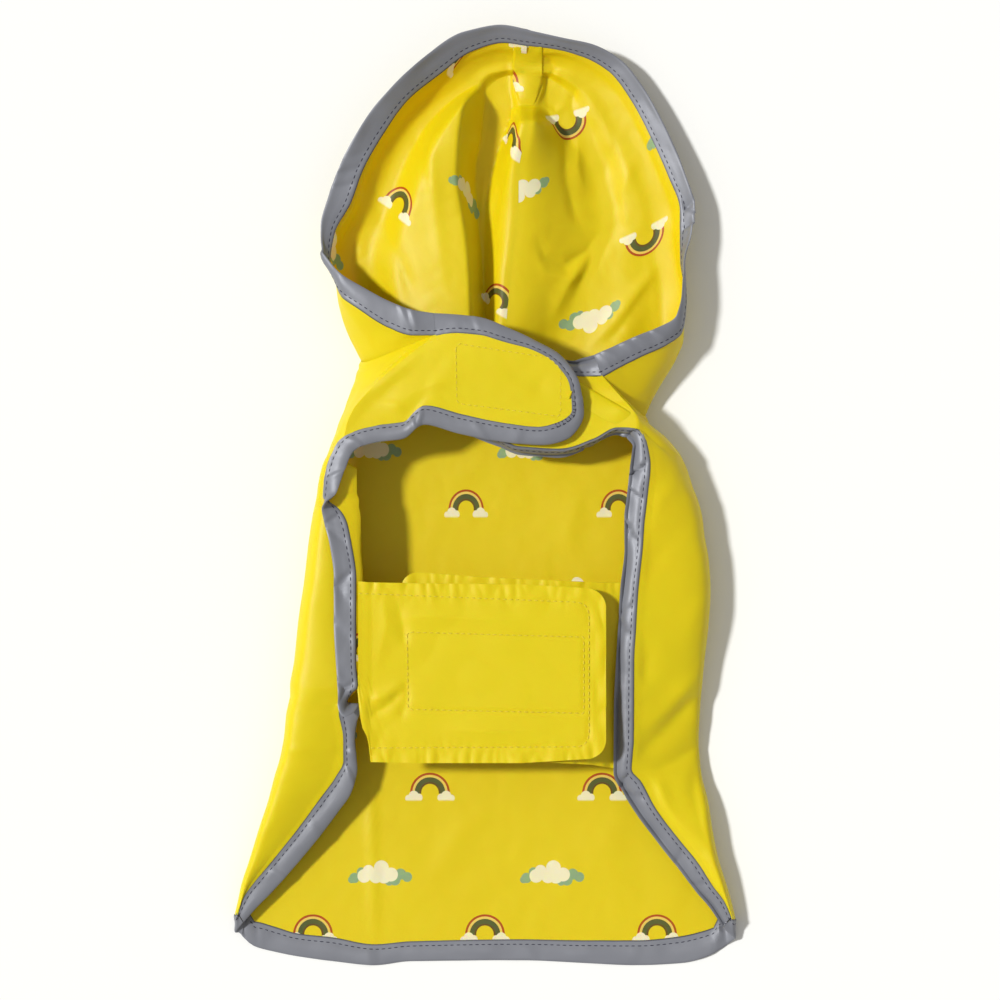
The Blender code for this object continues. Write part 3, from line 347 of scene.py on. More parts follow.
RIGHT_RIBS = [
    (0, 55, 70.5, 28, 59, 60.5, 28.5, 81, 41, 6.5, 6, 13, 6, 0.6),
    (1, 64, 74.5, 27.5, 67, 65, 27.5, 84, 48, 7, 6, 14, 6, 0.6),
    (2, 76, 80, 27, 79, 71, 26.5, 89, 57, 8, 5, 16, 6, 0.6),
    (3, 86, 84, 26, 91, 76.5, 25, 96, 69, 9, 3, 17, 8, 0.6),
    (4, 96, 90, 25, 99, 83.5, 20, 99.5, 80, 9, 0, 14, 9, 0.6),
    (5, 99, 104, 24, 101, 101, 15, 100, 100, 7, 0, 11, 10, 1),
    (6, 100, 118, 22, 99, 118, 14, 97, 117, 6, -1, 10, 11, 1.5),
    (7, 104, 133, 19, 99, 131.5, 13.5, 95, 130, 6.5, -2, 10, 9, 3),
    (8, 105, 145, 17, 99, 144, 13, 94, 142, 7, -3, 10, 9, 4.5),
    (9, 100, 163, 15.5, 93, 161, 12, 88, 159, 7.5, -3, 10, 8, 5.5),
    (10, 93, 180, 14, 85, 179, 11, 80, 177, 7, -3, 9.5, 7, 5.5),
    (11, 81, 202.5, 13, 75, 198, 10, 71, 195, 6.5, -3, 8.5, 7, 5),
    (12, 69, 217.5, 13, 64, 212.5, 10, 60.5, 208, 6, -3, 8, 7, 4.5),
    (13, 54, 225.5, 15, 51, 220, 11, 48, 216, 7, -3, 9, 6, 5),
    (14, 38, 228.5, 17, 36, 224, 13, 34.5, 220, 8, -2, 11, 5, 5),
    (15, 23, 232, 18, 23, 225.5, 14, 23, 220, 8, -2, 11, 5, 5),
]

# The centre seam in plan, where the ribs of both halves end
SEAM_COLUMNS = " seam_x seam_y"
SEAM = [
    (10, 55), (11, 63), (12, 74), (12, 86.5), (13, 99), (14, 111.5), (15, 124), (17, 136.5), (18, 149),
    (18, 161.5), (20, 174), (22, 186.5), (22, 196.5), (22, 202), (22, 206.5), (22, 210),
]

# The hood's inside rests on the floor and stands up in two long ridges: the left half's flap, which ends in
# a steep edge, and the dome over the centre seam. Lines run from the neck to the crown.
RIDGE_COLUMNS = "y crest_x crest_z start_x foot_x"
RIDGE_POWER = 0.6  # how steeply the left ridge rises
DOME_POWER = 0.7  # and the dome
CREST_SHARES = (0.3, 0.6)  # parts of a rib's inside between which its points may stop on the crest
RIDGE_FALL = 0.12  # least part from there to the foot
LAST_FOOT = 0.8  # last part where the foot may be
SETTLE = 4  # the inside settles from its seat to the floor over one part in this many
LEFT_RIDGE = [  # rises from start_x to crest_x, then falls to foot_x
    (66, -8, 6, -64, 0), (78, -8, 16, -72, 0), (91, -7, 22, -82, 1), (118, -8, 22, -88, 0),
    (140, -11, 21, -88, -2), (160, -14, 22, -80, -3), (178, -13, 24, -62, -2), (192, -11, 23, -46, 0),
    (206, -8, 15, -28, 2), (218, -5, 7, -14, 3),
]
DOME_FLAT = 2.5  # half of the dome's flat top, where the centre seam runs
DOME = [  # start_x and foot_x are its left and right feet
    (57, 10, 0, 0, 30), (80, 12, 8, 1, 40), (110, 14, 10, 1, 56), (140, 17.3, 12.5, 1, 60),
    (162, 18, 16, 5, 56), (176, 20.5, 20, 9, 47), (185, 22, 21, 12.5, 40), (191, 22, 12, 14.5, 34),
    (196, 22, 4, 15, 33), (207, 22, 4, 15, 33), (219, 22, 6, 14, 32),
]
PANEL_RISE = 4.5  # how much the right half's inside rises towards its wall
PANEL_WIDTH = 40.0  # from the dome's right foot to where that rise ends

# Hem: x, the sewing line's y and the tape's open edge
HEM_COLUMNS = "x sew_y free_y"
HEM = [
    (-122, -212, -217), (-114, -212.5, -224), (-103, -215.5, -227), (-93, -218.5, -229),
    (-75, -220.5, -231.5), (-54, -224, -233.5), (-36, -222.5, -231.5), (19, -221.5, -231),
    (52, -222, -232.5), (77, -222, -233.5), (99, -220, -232.5), (110, -217.5, -230), (120, -214.5, -225),
    (126, -214, -220),
]
HEM_REACH = 5  # stations over which the hem's curve fades into straight rows

# Belly straps from the sewn end to the free end: x, and y and z of the upper and of the lower edge
LEFT_STRAP = [
    (-61, -41, 33.8, -99, 33.8), (-59.5, -41, 33.6, -112, 33.5), (-56, -41.5, 33.4, -119, 33),
    (-55, -41.5, 33.2, -130, 32.6), (-30, -42, 32.8, -130.5, 32.4), (20, -42.5, 32.4, -130.5, 32),
    (61, -45, 31.4, -128, 31),
]
RIGHT_STRAP = [
    (85, -42, 20, -134, 11.5), (74, -42, 22.6, -134, 14), (64, -42, 24, -134, 14.5),
    (54, -41.5, 26, -132, 21), (42, -41, 27.6, -131, 27), (0, -39, 27.9, -129, 27.7),
    (-40, -36, 27.9, -126, 27.7),
]
# Creases in plan: height above the cloth (troughs are negative), width to each side, and the line it follows
LEFT_CREASES = [
    (0.6, 2.5, [(-101, -125), (-84, -124), (-67, -125)]),
    (-0.7, 7, [(-86, 10), (-88, -30), (-93, -80), (-97, -100)]),
    (0.6, 8, [(-78, -150), (-92, -172), (-108, -192)]),
    (0.8, 6, [(-77, 12), (-72, 28), (-63, 46), (-58, 60)]),
    (-0.9, 6, [(-64, 34), (-52, 47), (-38, 60), (-22, 70)]),
    (0.8, 5, [(-48, 40), (-34, 52), (-12, 60)]),
    (-0.8, 1.0, [(-61, 52), (-53, 58), (-41, 69), (-31, 77.5)]),
    (0.5, 2.2, [(-58, 50), (-49, 56), (-37, 66), (-26, 75)]),
    (-0.7, 5, [(8, 62), (24, 57), (36, 51)]),
    (0.6, 2.0, [(-36, 42), (-44, 46), (-56, 47)]),
]
RIGHT_CREASES = [
    (-2.4, 5, [(75, -131), (89, -117), (110, -95)]),
    (1.8, 5, [(77, -117), (92, -105), (109, -84)]),
    (-1.4, 4, [(111, -121), (97, -130), (82, -136)]),
    (1.5, 4, [(83, -132), (92, -154), (110, -175)]),
    (-1.3, 4, [(107, -124), (105, -146), (109, -165), (120, -188)]),
    (-0.9, 7, [(112, -2), (92, -22), (77, -42)]),
    (0.9, 6, [(101, 12), (89, 0), (81, -22)]),
    (-0.9, 3.5, [(75, -67), (82, -77), (80, -96)]),
    (0.8, 6, [(113, -44), (104, -60), (97, -82)]),
]
BACK_CREASES = [
    (1.1, 2.4, [(-56, -136), (-55, -180), (-54, -226)]),
    (0.6, 7, [(-36, -208), (-12, -168), (12, -148)]),
    (0.5, 9, [(30, -208), (62, -172), (70, -150)]),
    (0.5, 8, [(-40, 4), (5, 16), (50, 14)]),
    (0.4, 6, [(40, -30), (48, 0), (46, 20)]),
]
HOOD_CREASES = [
    (-1.7, 5, [(-56, 163), (-48, 132), (-37, 106), (-30, 90)]),
    (1.3, 4.5, [(-65, 134), (-56, 113), (-46, 95)]),
    (1.1, 4, [(-24, 192), (-25, 160), (-22, 128), (-17, 95)]),
    (-0.9, 3, [(-37, 188), (-30, 172), (-28, 148)]),
    (2.6, 3, [(2, 208), (-2, 188), (-6, 166)]),
    (1.1, 1.5, [(14.6, 224), (15.5, 203), (21, 191)]),
    (1.1, 1.5, [(29.6, 224), (29.3, 204), (24, 191)]),
    (-1.1, 2, [(31, 222), (36, 214), (30, 205)]),
    (1.0, 2, [(28, 197), (36, 192), (43, 198)]),
    (-1.0, 2.2, [(46.5, 207), (44.5, 196), (48, 184)]),
    (-1.3, 3, [(40.5, 186), (42, 159), (47, 139), (53, 130)]),
    (1.5, 3.5, [(48, 185), (47, 165), (51, 148)]),
    (-1.7, 3, [(25, 135), (31, 120), (41, 116), (52, 123), (60, 135)]),
    (1.3, 3, [(24, 128), (31, 112), (43, 109), (56, 118)]),
    (1.4, 3.5, [(60, 132), (42, 106), (31, 82)]),
    (-1.3, 3.5, [(71, 142), (59, 126), (50, 109), (41, 90)]),
    (1.5, 4, [(93, 124), (69, 91), (51, 72)]),
    (-1.1, 3, [(87, 112), (68, 84), (57, 73)]),
    (-0.9, 1.8, [(13, 168), (6.5, 146), (4, 127)]),
    (0.9, 2, [(2, 166), (0, 146), (2, 122)]),
    (0.8, 4, [(78, 176), (70, 152), (74, 128)]),
    (-0.8, 5, [(60, 200), (66, 176), (60, 156)]),
]
STRAP_CREASES = [
    (-1.5, 2.5, [(-38, -94), (-48, -103), (-57, -108)]),
    (1.1, 3, [(-36, -88), (-47, -97), (-58, -101)]),
    (-1.0, 3, [(-42, -50), (-39, -64), (-38, -76)]),
    (0.7, 4, [(-50, -43), (-47, -62), (-53, -88)]),
    (-0.8, 2.5, [(-39, -86), (-37, -98), (-41, -112)]),
    (-0.5, 3, [(56, -60), (54, -84), (56, -108)]),
    (-0.5, 0.9, [(-37, -66), (50, -68.5), (50, -106), (-36.5, -104), (-37, -66)]),
    (-0.4, 0.9, [(-60, -47), (49, -51), (52.5, -57), (52.5, -117), (49, -122.5), (-55, -123)]),
    (0.7, 4, [(-52, -60), (-30, -58), (10, -60), (44, -61)]),
    (0.6, 4, [(-30, -113), (0, -115), (40, -114)]),
]

# Narrow layers of cloth that lie on their panel: two long sides in plan, and share across with height
TUCK_SIDES = ([(45.5, 58), (50.5, 55.5), (66, 46.5), (76, 40.5)], [(41, 47), (46, 45), (60, 37), (70, 34)])
TUCK_PROFILE = [(0, 0.2), (0.02, 1.2), (0.1, 1.6), (0.25, 1.5), (0.5, 0.9), (0.8, 0.2), (1, -0.5)]
TAB_SIDES = ([(15.5, 224), (15.3, 208), (19.5, 193)], [(29.8, 224), (30, 208), (24.5, 193)])
TAB_PROFILE = [(0, -0.2), (0.03, 0.9), (0.12, 1.1), (0.5, 0.8), (0.88, 1.1), (0.97, 0.9), (1, -0.2)]

# Lines of yellow stitches in plan: the closures' outlines, the upper strap's hem and the left neck seam
STRAP_CLOSURE = [(-37, -66), (50, -68.5), (50, -106), (-36.5, -104)]
STRAP_HEM = [(-60, -47), (52.5, -51.5), (52.5, -122.5), (-55, -123)]
CHEST_CLOSURE = [(-13, 76), (38.5, 68), (38.5, 40), (-12.5, 46.5)]
NECK_STITCHES = [
    [(-61, 52), (-53, 58), (-41, 69), (-32, 77.5)],
    [(-52, 59), (-44, 66), (-36, 72), (-21, 78.5)],
]


def curve(a, b, slope_a, slope_b, gap, t):
    """Points of a smooth curve from a to b over a gap, with the slopes that it has at both ends."""
    bend = slope_a * t * (1 - t) ** 2 - slope_b * t * t * (1 - t)
    return a + (b - a) * (3 * t * t - 2 * t ** 3) + gap * bend


class Table:
    """Sections at stations, read between rows with a smooth curve that never overshoots them."""

    def __init__(self, columns, rows):
        self.names = columns.split()
        self.rows = np.array(sorted(rows), dtype=float)
        self.stations = self.rows[:, 0]
        slopes = np.diff(self.rows, axis=0) / np.diff(self.stations)[:, None]
        inner = np.where(slopes[:-1] * slopes[1:] > 0, 2 * slopes[:-1] * slopes[1:], 0)
        total = slopes[:-1] + slopes[1:]
        inner = inner / np.where(abs(total) < 1e-9, 1, total)
        self.slopes = np.vstack([slopes[:1], inner, slopes[-1:]])

    def at(self, station):
        station = np.asarray(station, dtype=float)
        i = np.clip(np.searchsorted(self.stations, station) - 1, 0, len(self.stations) - 2)
        gap = (self.stations[i + 1] - self.stations[i])[..., None]
        t = np.clip((station - self.stations[i])[..., None] / gap, 0, 1)
        values = curve(self.rows[i], self.rows[i + 1], self.slopes[i], self.slopes[i + 1], gap, t)
        return dict(zip(self.names, np.moveaxis(values, -1, 0)))

    def even(self, steps):
        """Places at even steps between the stations."""
        return np.linspace(0, self.stations[-1], int(self.stations[-1]) * steps + 1)


def point(row, name=""):
    return np.stack([row[name + axis] for axis in "xyz"], axis=-1)


def unit(vector):
    return vector / np.maximum(np.linalg.norm(vector, axis=-1, keepdims=True), 1e-6)


def smooth_step(value):
    value = np.clip(value, 0, 1)
    return value * value * (3 - 2 * value)


def ramp(value, begin, length):
    """A smooth step from 0 to 1 that starts at a value and takes a length."""
    return smooth_step((value - begin) / length)


def flat_direction(a, b):
    step = np.array([b[0] - a[0], b[1] - a[1], 0.0])
    return step / np.linalg.norm(step)


def step_inside(start, target, step):
    """The cloth's first point inside its edge, on its way to the target."""
    return start + unit(target - start) * min(step, EDGE_SHARE * np.linalg.norm(target - start))


def fill_creases(rows):
    """Gives every row that has no turned-back fold a crease just inside the sewing line."""
    filled = []
    for row in rows:
        if len(row) < len(BODY_COLUMNS.split()):
            sew, out = np.array(row[4:7], dtype=float), np.array(row[7:], dtype=float)
            row = (*row[:7], *step_inside(sew, out, TURN_IN), 0, *row[7:])
        filled.append(row)
    return filled


def curve_through(points, counts):
    """Catmull-Rom curve through the points, with the given number of steps in each span."""
    points = [np.asarray(p, dtype=float) for p in points]
    knots = [0.0]
    for a, b in zip(points, points[1:]):
        knots.append(knots[-1] + math.sqrt(max(np.linalg.norm(b - a), 1e-6)))
    slopes = [(b - a) / (t - s) for a, b, s, t in zip(points, points[1:], knots, knots[1:])]
    tangents = [slopes[0]]
    for i in range(1, len(points) - 1):
        before, after = knots[i] - knots[i - 1], knots[i + 1] - knots[i]
        tangents.append((slopes[i - 1] * after + slopes[i] * before) / (knots[i + 1] - knots[i - 1]))
    tangents.append(slopes[-1])
    out = [points[0]]
    for i, count in enumerate(counts):
        span = (points[i], points[i + 1], tangents[i], tangents[i + 1], knots[i + 1] - knots[i])
        out += [curve(*span, step / count) for step in range(1, count + 1)]
    return out


def side_path(sew, crease, drop, fold, floor_point):
    """Cloth from the sewing line over the turned-back fold, round the outer fold and onto the floor."""
    behind = crease + (fold[0] - crease) * BEHIND_SHARE
    behind[2] -= drop
    return curve_through([sew, crease, behind, *fold, floor_point], SIDE_STEPS)[:-1]


def outer_fold(row, sew, across):
    """Upper bend, outermost point and seat of an outer fold; across points to the other side's fold."""
    height = row["height"]
    out = np.array([row["out_x"], row["out_y"], height / 2])
    reach = math.hypot(sew[0] - out[0], sew[1] - out[1])
    top = out + across * min(BEND_ROUND * height, BEND_REACH * reach)
    top[2] = height
    seat = out + across * FOLD_ROUND * height
    seat[2] = FLOOR_Z
    return top, out, seat


def body_side(table, station, across):
    """One side's path at a station, from the sewing line to the floor."""
    row = table.at(station)
    sew = point(row, "sew_")
    fold = outer_fold(row, sew, across)
    return side_path(sew, point(row, "crease_"), row["drop"], fold, fold[2] + across * SEAT_STEP)


def flap_side(table, root, share, across):
    """The path of a row that crosses a chest flap, from the flap's root to the floor."""
    row = table.at(FLAP_STATIONS[0] + share * (FLAP_STATIONS[3] - FLAP_STATIONS[0]))
    inward = flat_direction((row["out_x"], row["out_y"]), root)
    inward = unit(inward + (across - inward) * share ** 2)
    fold = outer_fold(row, root, inward)
    return side_path(root, step_inside(root, fold[0], FIRST_STEP), 0, fold, fold[2] + across * SEAT_STEP)


def flap_grid(table, starts):
    """A chest flap's points between its four edges, row by row from its end to its root's first points."""
    begin, lower_corner, upper_corner, neck = FLAP_STATIONS
    s = np.linspace(0, 1, FLAP_STEPS + 1)[:, None]
    lower = point(table.at(lower_corner - s[:, 0] * (lower_corner - begin)), "sew_")
    upper = point(table.at(upper_corner + s[:, 0] * (neck - upper_corner)), "sew_")
    lower[-1], upper[-1] = starts[0], starts[-1]
    low, high = ((1 - s) * edge[0] + s * edge[-1] for edge in (lower, upper))
    rows = []
    for t, start in zip(np.linspace(0, 1, len(starts)), starts):
        end = point(table.at(lower_corner + t * (upper_corner - lower_corner)), "sew_")
        row = (1 - t) * (lower - low) + t * (upper - high) + (1 - s) * end + s * start
        rows.append(list(row[:-1]))
    return rows


def across_at(left, right, station):
    """Direction in plan from the left outer fold to the right one."""
    a, b = left.at(station), right.at(station)
    return flat_direction((a["out_x"], a["out_y"]), (b["out_x"], b["out_y"]))


def floor_points(path_a, path_b):
    """The stretch that lies on the floor between two side paths, without its ends."""
    return [path_a[-1] + (path_b[-1] - path_a[-1]) * i / FLOOR_STEPS for i in range(1, FLOOR_STEPS)]


def body_grid(left, right):
    """Rows of the body panel, hem to neck; the rows under the chest flaps have empty ends."""
    begin, neck = FLAP_STATIONS[0], FLAP_STATIONS[3]
    empty = [np.full(3, np.nan)] * FLAP_STEPS
    hem = Table(HEM_COLUMNS, HEM)
    rows, ends = [], None
    for station in np.linspace(0, begin, begin * ROWS_PER_STATION + 1)[:-1]:
        across = across_at(left, right, station)
        path_a, path_b = body_side(left, station, across), body_side(right, station, -across)
        floor = np.array(floor_points(path_a, path_b))
        if ends is None:
            ends = np.array([path_a[-1], path_b[-1]])
        dip = hem.at(floor[:, 0])["sew_y"] - np.interp(floor[:, 0], ends[:, 0], ends[:, 1])
        floor[:, 1] += dip * (1 - smooth_step(station / HEM_REACH))
        rows.append(empty + path_a + list(floor) + path_b[::-1] + empty)
    across = across_at(left, right, begin)
    paths = [(body_side(left, begin, across), body_side(right, begin, -across))]
    roots = [Table(ROOT_COLUMNS, root) for root in (LEFT_ROOT, RIGHT_ROOT)]
    for share in np.linspace(0, 1, FLAP_ROW_STEPS + 1)[1:]:
        across = across_at(left, right, begin + share * (neck - begin))
        paths.append([
            flap_side(side, point(root.at(share)), share, way)
            for side, root, way in zip((left, right), roots, (across, -across))
        ])
    left_flap = flap_grid(left, [a[0] for a, _ in paths])
    right_flap = flap_grid(right, [b[0] for _, b in paths])
    for (path_a, path_b), flap_a, flap_b in zip(paths, left_flap, right_flap):
        rows.append(flap_a + path_a + floor_points(path_a, path_b) + path_b[::-1] + flap_b[::-1])
    return np.array(rows)


def ridge_height(rows, x, y, flat, power):
    """Height of a long ridge over the floor; flat is half the width of its top."""
    line = Table(RIDGE_COLUMNS, rows).at(y)
    gap = x - line["crest_x"]
    rise = smooth_step((x - line["start_x"]) / (line["crest_x"] - flat - line["start_x"])) ** power
    fall = 1 - smooth_step((gap - flat) / (line["foot_x"] - line["crest_x"] - flat))
    return line["crest_z"] * np.where(gap < 0, rise, fall)


def hood_floor(x, y):
    """Height of the hood's inside over the floor."""
    ridge = ridge_height(LEFT_RIDGE, x, y, 0.0, RIDGE_POWER)
    dome = ridge_height(DOME, x, y, DOME_FLAT, DOME_POWER)
    foot = Table(RIDGE_COLUMNS, DOME).at(y)["foot_x"]
    return FLOOR_Z + np.hypot(ridge, dome) + PANEL_RISE * smooth_step((x - foot) / PANEL_WIDTH)


def inside_steps(begin, seam):
    """Shares of the way across a rib's inside to the seam, with stops on the left ridge's crest and foot."""
    if begin[0] > seam[0]:
        return np.linspace(0, 1, sum(INSIDE_STEPS) + 1)
    line = Table(RIDGE_COLUMNS, LEFT_RIDGE).at((begin[1] + seam[1]) / 2)
    span = max(seam[0] - begin[0], 1.0)
    crest = np.clip((line["crest_x"] - begin[0]) / span, *CREST_SHARES)
    foot = np.clip((line["foot_x"] - begin[0]) / span, crest + RIDGE_FALL, LAST_FOOT)
    stops = [0, crest, foot, 1]
    parts = [np.linspace(a, b, count + 1)[1:] for a, b, count in zip(stops, stops[1:], INSIDE_STEPS)]
    return np.concatenate([[0.0], *parts])


def rib(table, station):
    """Hood cloth from the sewing line round the wall and across the inside to the centre seam."""
    row = table.at(station)
    sew, out = point(row, "sew_"), point(row, "out_")
    seam = np.array([row["seam_x"], row["seam_y"], 0.0])
    inward = flat_direction(out, seam)
    top, seat = out + inward * row["top_in"], out + inward * row["seat_in"]
    top[2], seat[2] = row["top_z"], row["seat_z"]
    begin = seat + inward * min(SEAT_STEP, SEAT_SHARE * math.dist(seat[:2], seam[:2]))
    path = side_path(sew, step_inside(sew, top, FIRST_STEP), 0, (top, out, seat), begin)
    share = inside_steps(begin, seam)
    x, y = (begin[axis] + (seam[axis] - begin[axis]) * share for axis in (0, 1))
    settle = smooth_step(share * SETTLE)
    inside = np.stack([x, y, row["seat_z"] * (1 - settle) + hood_floor(x, y) * settle], axis=-1)
    return path + list(inside)


def hood_grid(table):
    """Half a hood as rows from neck to crown, and one more row that laps over the body's neck edge."""
    rows = np.array([rib(table, station) for station in table.even(RIBS_PER_STATION)])
    lap = rows[0] - unit(rows[1] - rows[0]) * NECK_LAP
    return np.concatenate([lap[None], rows])


def strap_grid(table):
    """Strap rows along x with points from the upper to the lower hem; the free end has rounded corners."""
    sewn, end = table[0][0], table[-1][0]
    sign = 1 if end > sewn else -1
    places, *columns = np.array(sorted(table), dtype=float).T
    length = abs(end - sewn)
    corner = STRAP_CORNER * (1 - np.cos(np.linspace(math.pi / 2, 0, CORNER_STEPS)))
    straight = np.linspace(0, length - STRAP_CORNER, STRAP_STEPS[0])[:-1]
    share = np.linspace(0, 1, STRAP_STEPS[1])[:, None]
    rows = []
    for along in np.concatenate([straight, length - corner]):
        left = length - along
        cut = 0.0
        if left < STRAP_CORNER:
            cut = STRAP_CORNER - math.sqrt(max(STRAP_CORNER ** 2 - (STRAP_CORNER - left) ** 2, 0))
        x = sewn + sign * along
        top, top_z, bottom, bottom_z = (np.interp(x, places, column) for column in columns)
        upper, lower = np.array([x, top - cut, top_z]), np.array([x, bottom + cut, bottom_z])
        rows.append(upper + (lower - upper) * share)
    return np.array(rows[::sign])


def normals(points):
    """Unit normals of a grid of points; places outside the cloth are not numbers and count for nothing."""
    a, b, c, d = points[:-1, :-1], points[:-1, 1:], points[1:, 1:], points[1:, :-1]
    face = np.nan_to_num(np.cross(c - a, d - b))
    total = np.zeros_like(points)
    for rows in (slice(None, -1), slice(1, None)):
        for columns in (slice(None, -1), slice(1, None)):
            total[rows, columns] += face
    return unit(total)


def line_gap(x, y, line):
    """Distance in plan to a line, and the share of the line's length at its nearest place."""
    line = np.array(line, dtype=float)
    spans = np.linalg.norm(np.diff(line, axis=0), axis=1)
    gap, share, before = np.full(x.shape, np.inf), np.zeros(x.shape), 0.0
    for a, step, span in zip(line, np.diff(line, axis=0), spans):
        t = np.clip(((x - a[0]) * step[0] + (y - a[1]) * step[1]) / span ** 2, 0, 1)
        here = np.hypot(x - a[0] - t * step[0], y - a[1] - t * step[1])
        share = np.where(here < gap, (before + t * span) / spans.sum(), share)
        gap = np.minimum(here, gap)
        before += span
    return gap, share


def crease_height(points, creases):
    """Sum of the creases at each point; every one is sharp in its middle, uneven and runs out at its ends."""
    x, y = points[..., 0], points[..., 1]
    total = np.zeros(x.shape)
    for height, width, line in creases:
        gap, share = line_gap(x, y, line)
        ends = smooth_step(3 * share) * smooth_step(3 * (1 - share))
        uneven = 1 - UNEVEN + UNEVEN * np.sin(7 * share + 3 * width)
        soft, sharp = np.exp(-(gap / width) ** 2), np.exp(-2 * gap / width)
        total += height * ends * uneven * ((1 - SHARPNESS) * soft + SHARPNESS * sharp)
    return total


def crumple(points, size):
    """Facets of stiff coated cloth, 0 to 1, with the given size in millimetres."""
    flat = np.nan_to_num(points.reshape(-1, 3)) / size
    return np.array([abs(noise.noise(Vector(p))) for p in flat]).reshape(points.shape[:-1])


def gap_to(edges, points):
    """Distance from each point to the nearest of the edges' points."""
    tree = KDTree(len(edges))
    for i, p in enumerate(edges):
        tree.insert(p, i)
    tree.balance()
    flat = np.nan_to_num(points.reshape(-1, 3))
    return np.array([tree.find(p)[2] for p in flat]).reshape(points.shape[:-1])


def creased(points, layers, edges):
    """Cloth with creases along its normal. layers: creases, way up (1 or -1) and weight of each place."""
    away = normals(points)
    fade = smooth_step(gap_to(edges, points) / CREASE_FADE)
    large, small = (crumple(points + shift, size) for size, shift in FACETS)
    facets = FACET_HEIGHT * (large + 0.5 * small - 0.25)
    moved = points.copy()
    for creases, way, weight in layers:
        height = crease_height(points, creases) + facets
        moved += away * (way * weight * fade * height)[..., None]
    lowest = np.fmin(points[..., 2], CLOTH / 2)
    moved[..., 2] = np.fmax(moved[..., 2], lowest)
    return moved


def arc_lengths(points):
    """Distance along a grid's rows."""
    steps = np.nan_to_num(np.linalg.norm(np.diff(points, axis=1), axis=-1))
    return np.insert(np.cumsum(steps, axis=1), 0, 0, axis=1)


def link(name, mesh):
    obj = bpy.data.objects.new(name, mesh)
    bpy.context.scene.collection.objects.link(obj)
    return obj


def mesh_object(name, points, faces, slots, uv, materials):
    """A mesh from millimetre points with one UV map in metres; slots are the faces' material numbers."""
    mesh = bpy.data.meshes.new(name)
    mesh.from_pydata(((points - MIDDLE) * MM).tolist(), [], faces)
    for mat in materials:
        mesh.materials.append(mat)
    mesh.polygons.foreach_set("material_index", np.asarray(slots, dtype=np.int32))
    corner = np.empty(len(mesh.loops), dtype=np.int32)
    mesh.loops.foreach_get("vertex_index", corner)
    layer = mesh.uv_layers.new(name="pattern")
    layer.data.foreach_set("uv", (uv[corner] * MM).astype(np.float32).ravel())
    mesh.shade_smooth()
    mesh.set_sharp_from_angle(angle=math.radians(SHARP_ANGLE))
    return link(name, mesh)


def shell(name, points, uv, materials, half=CLOTH / 2):
    """Cloth wall of even or given half thickness: front on the normals' side, back, and a rim round it."""
    away = normals(points) * np.broadcast_to(half, points.shape[:2])[..., None]
    index = np.arange(points.shape[0] * points.shape[1]).reshape(points.shape[:2])
    quads = np.stack([index[:-1, :-1], index[:-1, 1:], index[1:, 1:], index[1:, :-1]], axis=-1).reshape(-1, 4)
    there = ~np.isnan(points[..., 0].ravel())
    quads = quads[there[quads].all(axis=1)]
    used, quads = np.unique(quads, return_inverse=True)
    quads = quads.reshape(-1, 4)
    count = len(used)
    front, back = ((points + way * away).reshape(-1, 3)[used] for way in (1, -1))
    edges = np.concatenate([quads[:, [i, (i + 1) % 4]] for i in range(4)])
    rim = edges[~np.isin(edges @ (count, 1), edges @ (1, count))]
    rim = np.stack([rim[:, 1], rim[:, 0], rim[:, 0] + count, rim[:, 1] + count], axis=-1)
    faces = np.concatenate([quads, quads[:, ::-1] + count, rim]).tolist()
    slots = np.repeat([0, 1, 1], [len(quads), len(quads), len(rim)])
    uv = np.tile(uv.reshape(-1, 2)[used], (2, 1))
    return mesh_object(name, np.concatenate([front, back]), faces, slots, uv, materials)


def tape_waves(along, share, width, bulge, pleats):
    """Height of a tape's bulge, puckers and pleats over the flat strip."""
    pucker, broad = (
        np.array([[noise.noise(Vector((s / size, turns * v, seed))) for v in share] for s in along])
        for size, turns, seed in (PUCKERS, BROAD_WAVES)
    )
    waves = PUCKER_HEIGHT * pucker * np.exp(-((share - 0.2) / 0.35) ** 2) + BROAD_HEIGHT * broad * share
    waves = waves + bulge[0] * np.exp(-((share - bulge[1]) / bulge[2]) ** 2) * (0.8 + 0.4 * broad)
    for station, height, size, lean in pleats:
        gap = along[:, None] - along[round(station * TAPE_PER_STATION)] - lean * share * width[:, None]
        fall = np.exp(-abs(gap) / np.where(gap < 0, size, PLEAT_FALL))
        waves = waves + height * fall * smooth_step(share * 3)
    return waves


def tape_object(node, free, sew, toward, mat):
    """Tape folded over an edge: a flat tube from a lip on the cloth to the rounded open edge.

    Returns the object and the lines on both faces where the stitches lie."""
    lip = sew + unit(toward - sew) * TAPE_OVERLAP
    share, half = np.array(TAPE_SECTION).T
    middle = np.stack([lip] + [sew + (free - sew) * s for s in share[1:]], axis=1)
    width = np.linalg.norm(free - sew, axis=1)
    along = arc_lengths(sew[None])[0]
    middle = middle + normals(middle) * tape_waves(along, share, width, BULGES[node], PLEATS[node])[..., None]
    away = normals(middle) * (half * TAPE / 2)[:, None]
    top, bottom = middle + away, (middle - away)[:, :-1]
    ring = np.concatenate([top, bottom[:, ::-1]], axis=1)
    index = np.arange(ring.shape[0] * ring.shape[1]).reshape(ring.shape[:2])
    beside = np.roll(index, -1, axis=1)
    quads = np.stack([index[:-1], beside[:-1], beside[1:], index[1:]], axis=-1).reshape(-1, 4)
    faces = quads.tolist() + [index[0][::-1].tolist(), index[-1].tolist()]
    across = np.concatenate([share, share[:-1][::-1]])
    uv = np.stack(np.broadcast_arrays(along[:, None], across * width[:, None]), axis=-1).reshape(-1, 2)
    name = node.replace("binding", "tape")
    obj = mesh_object(name, ring.reshape(-1, 3), faces, [0] * len(faces), uv, [mat])
    return obj, [top[:, STITCH_COLUMN], bottom[:, STITCH_COLUMN]]


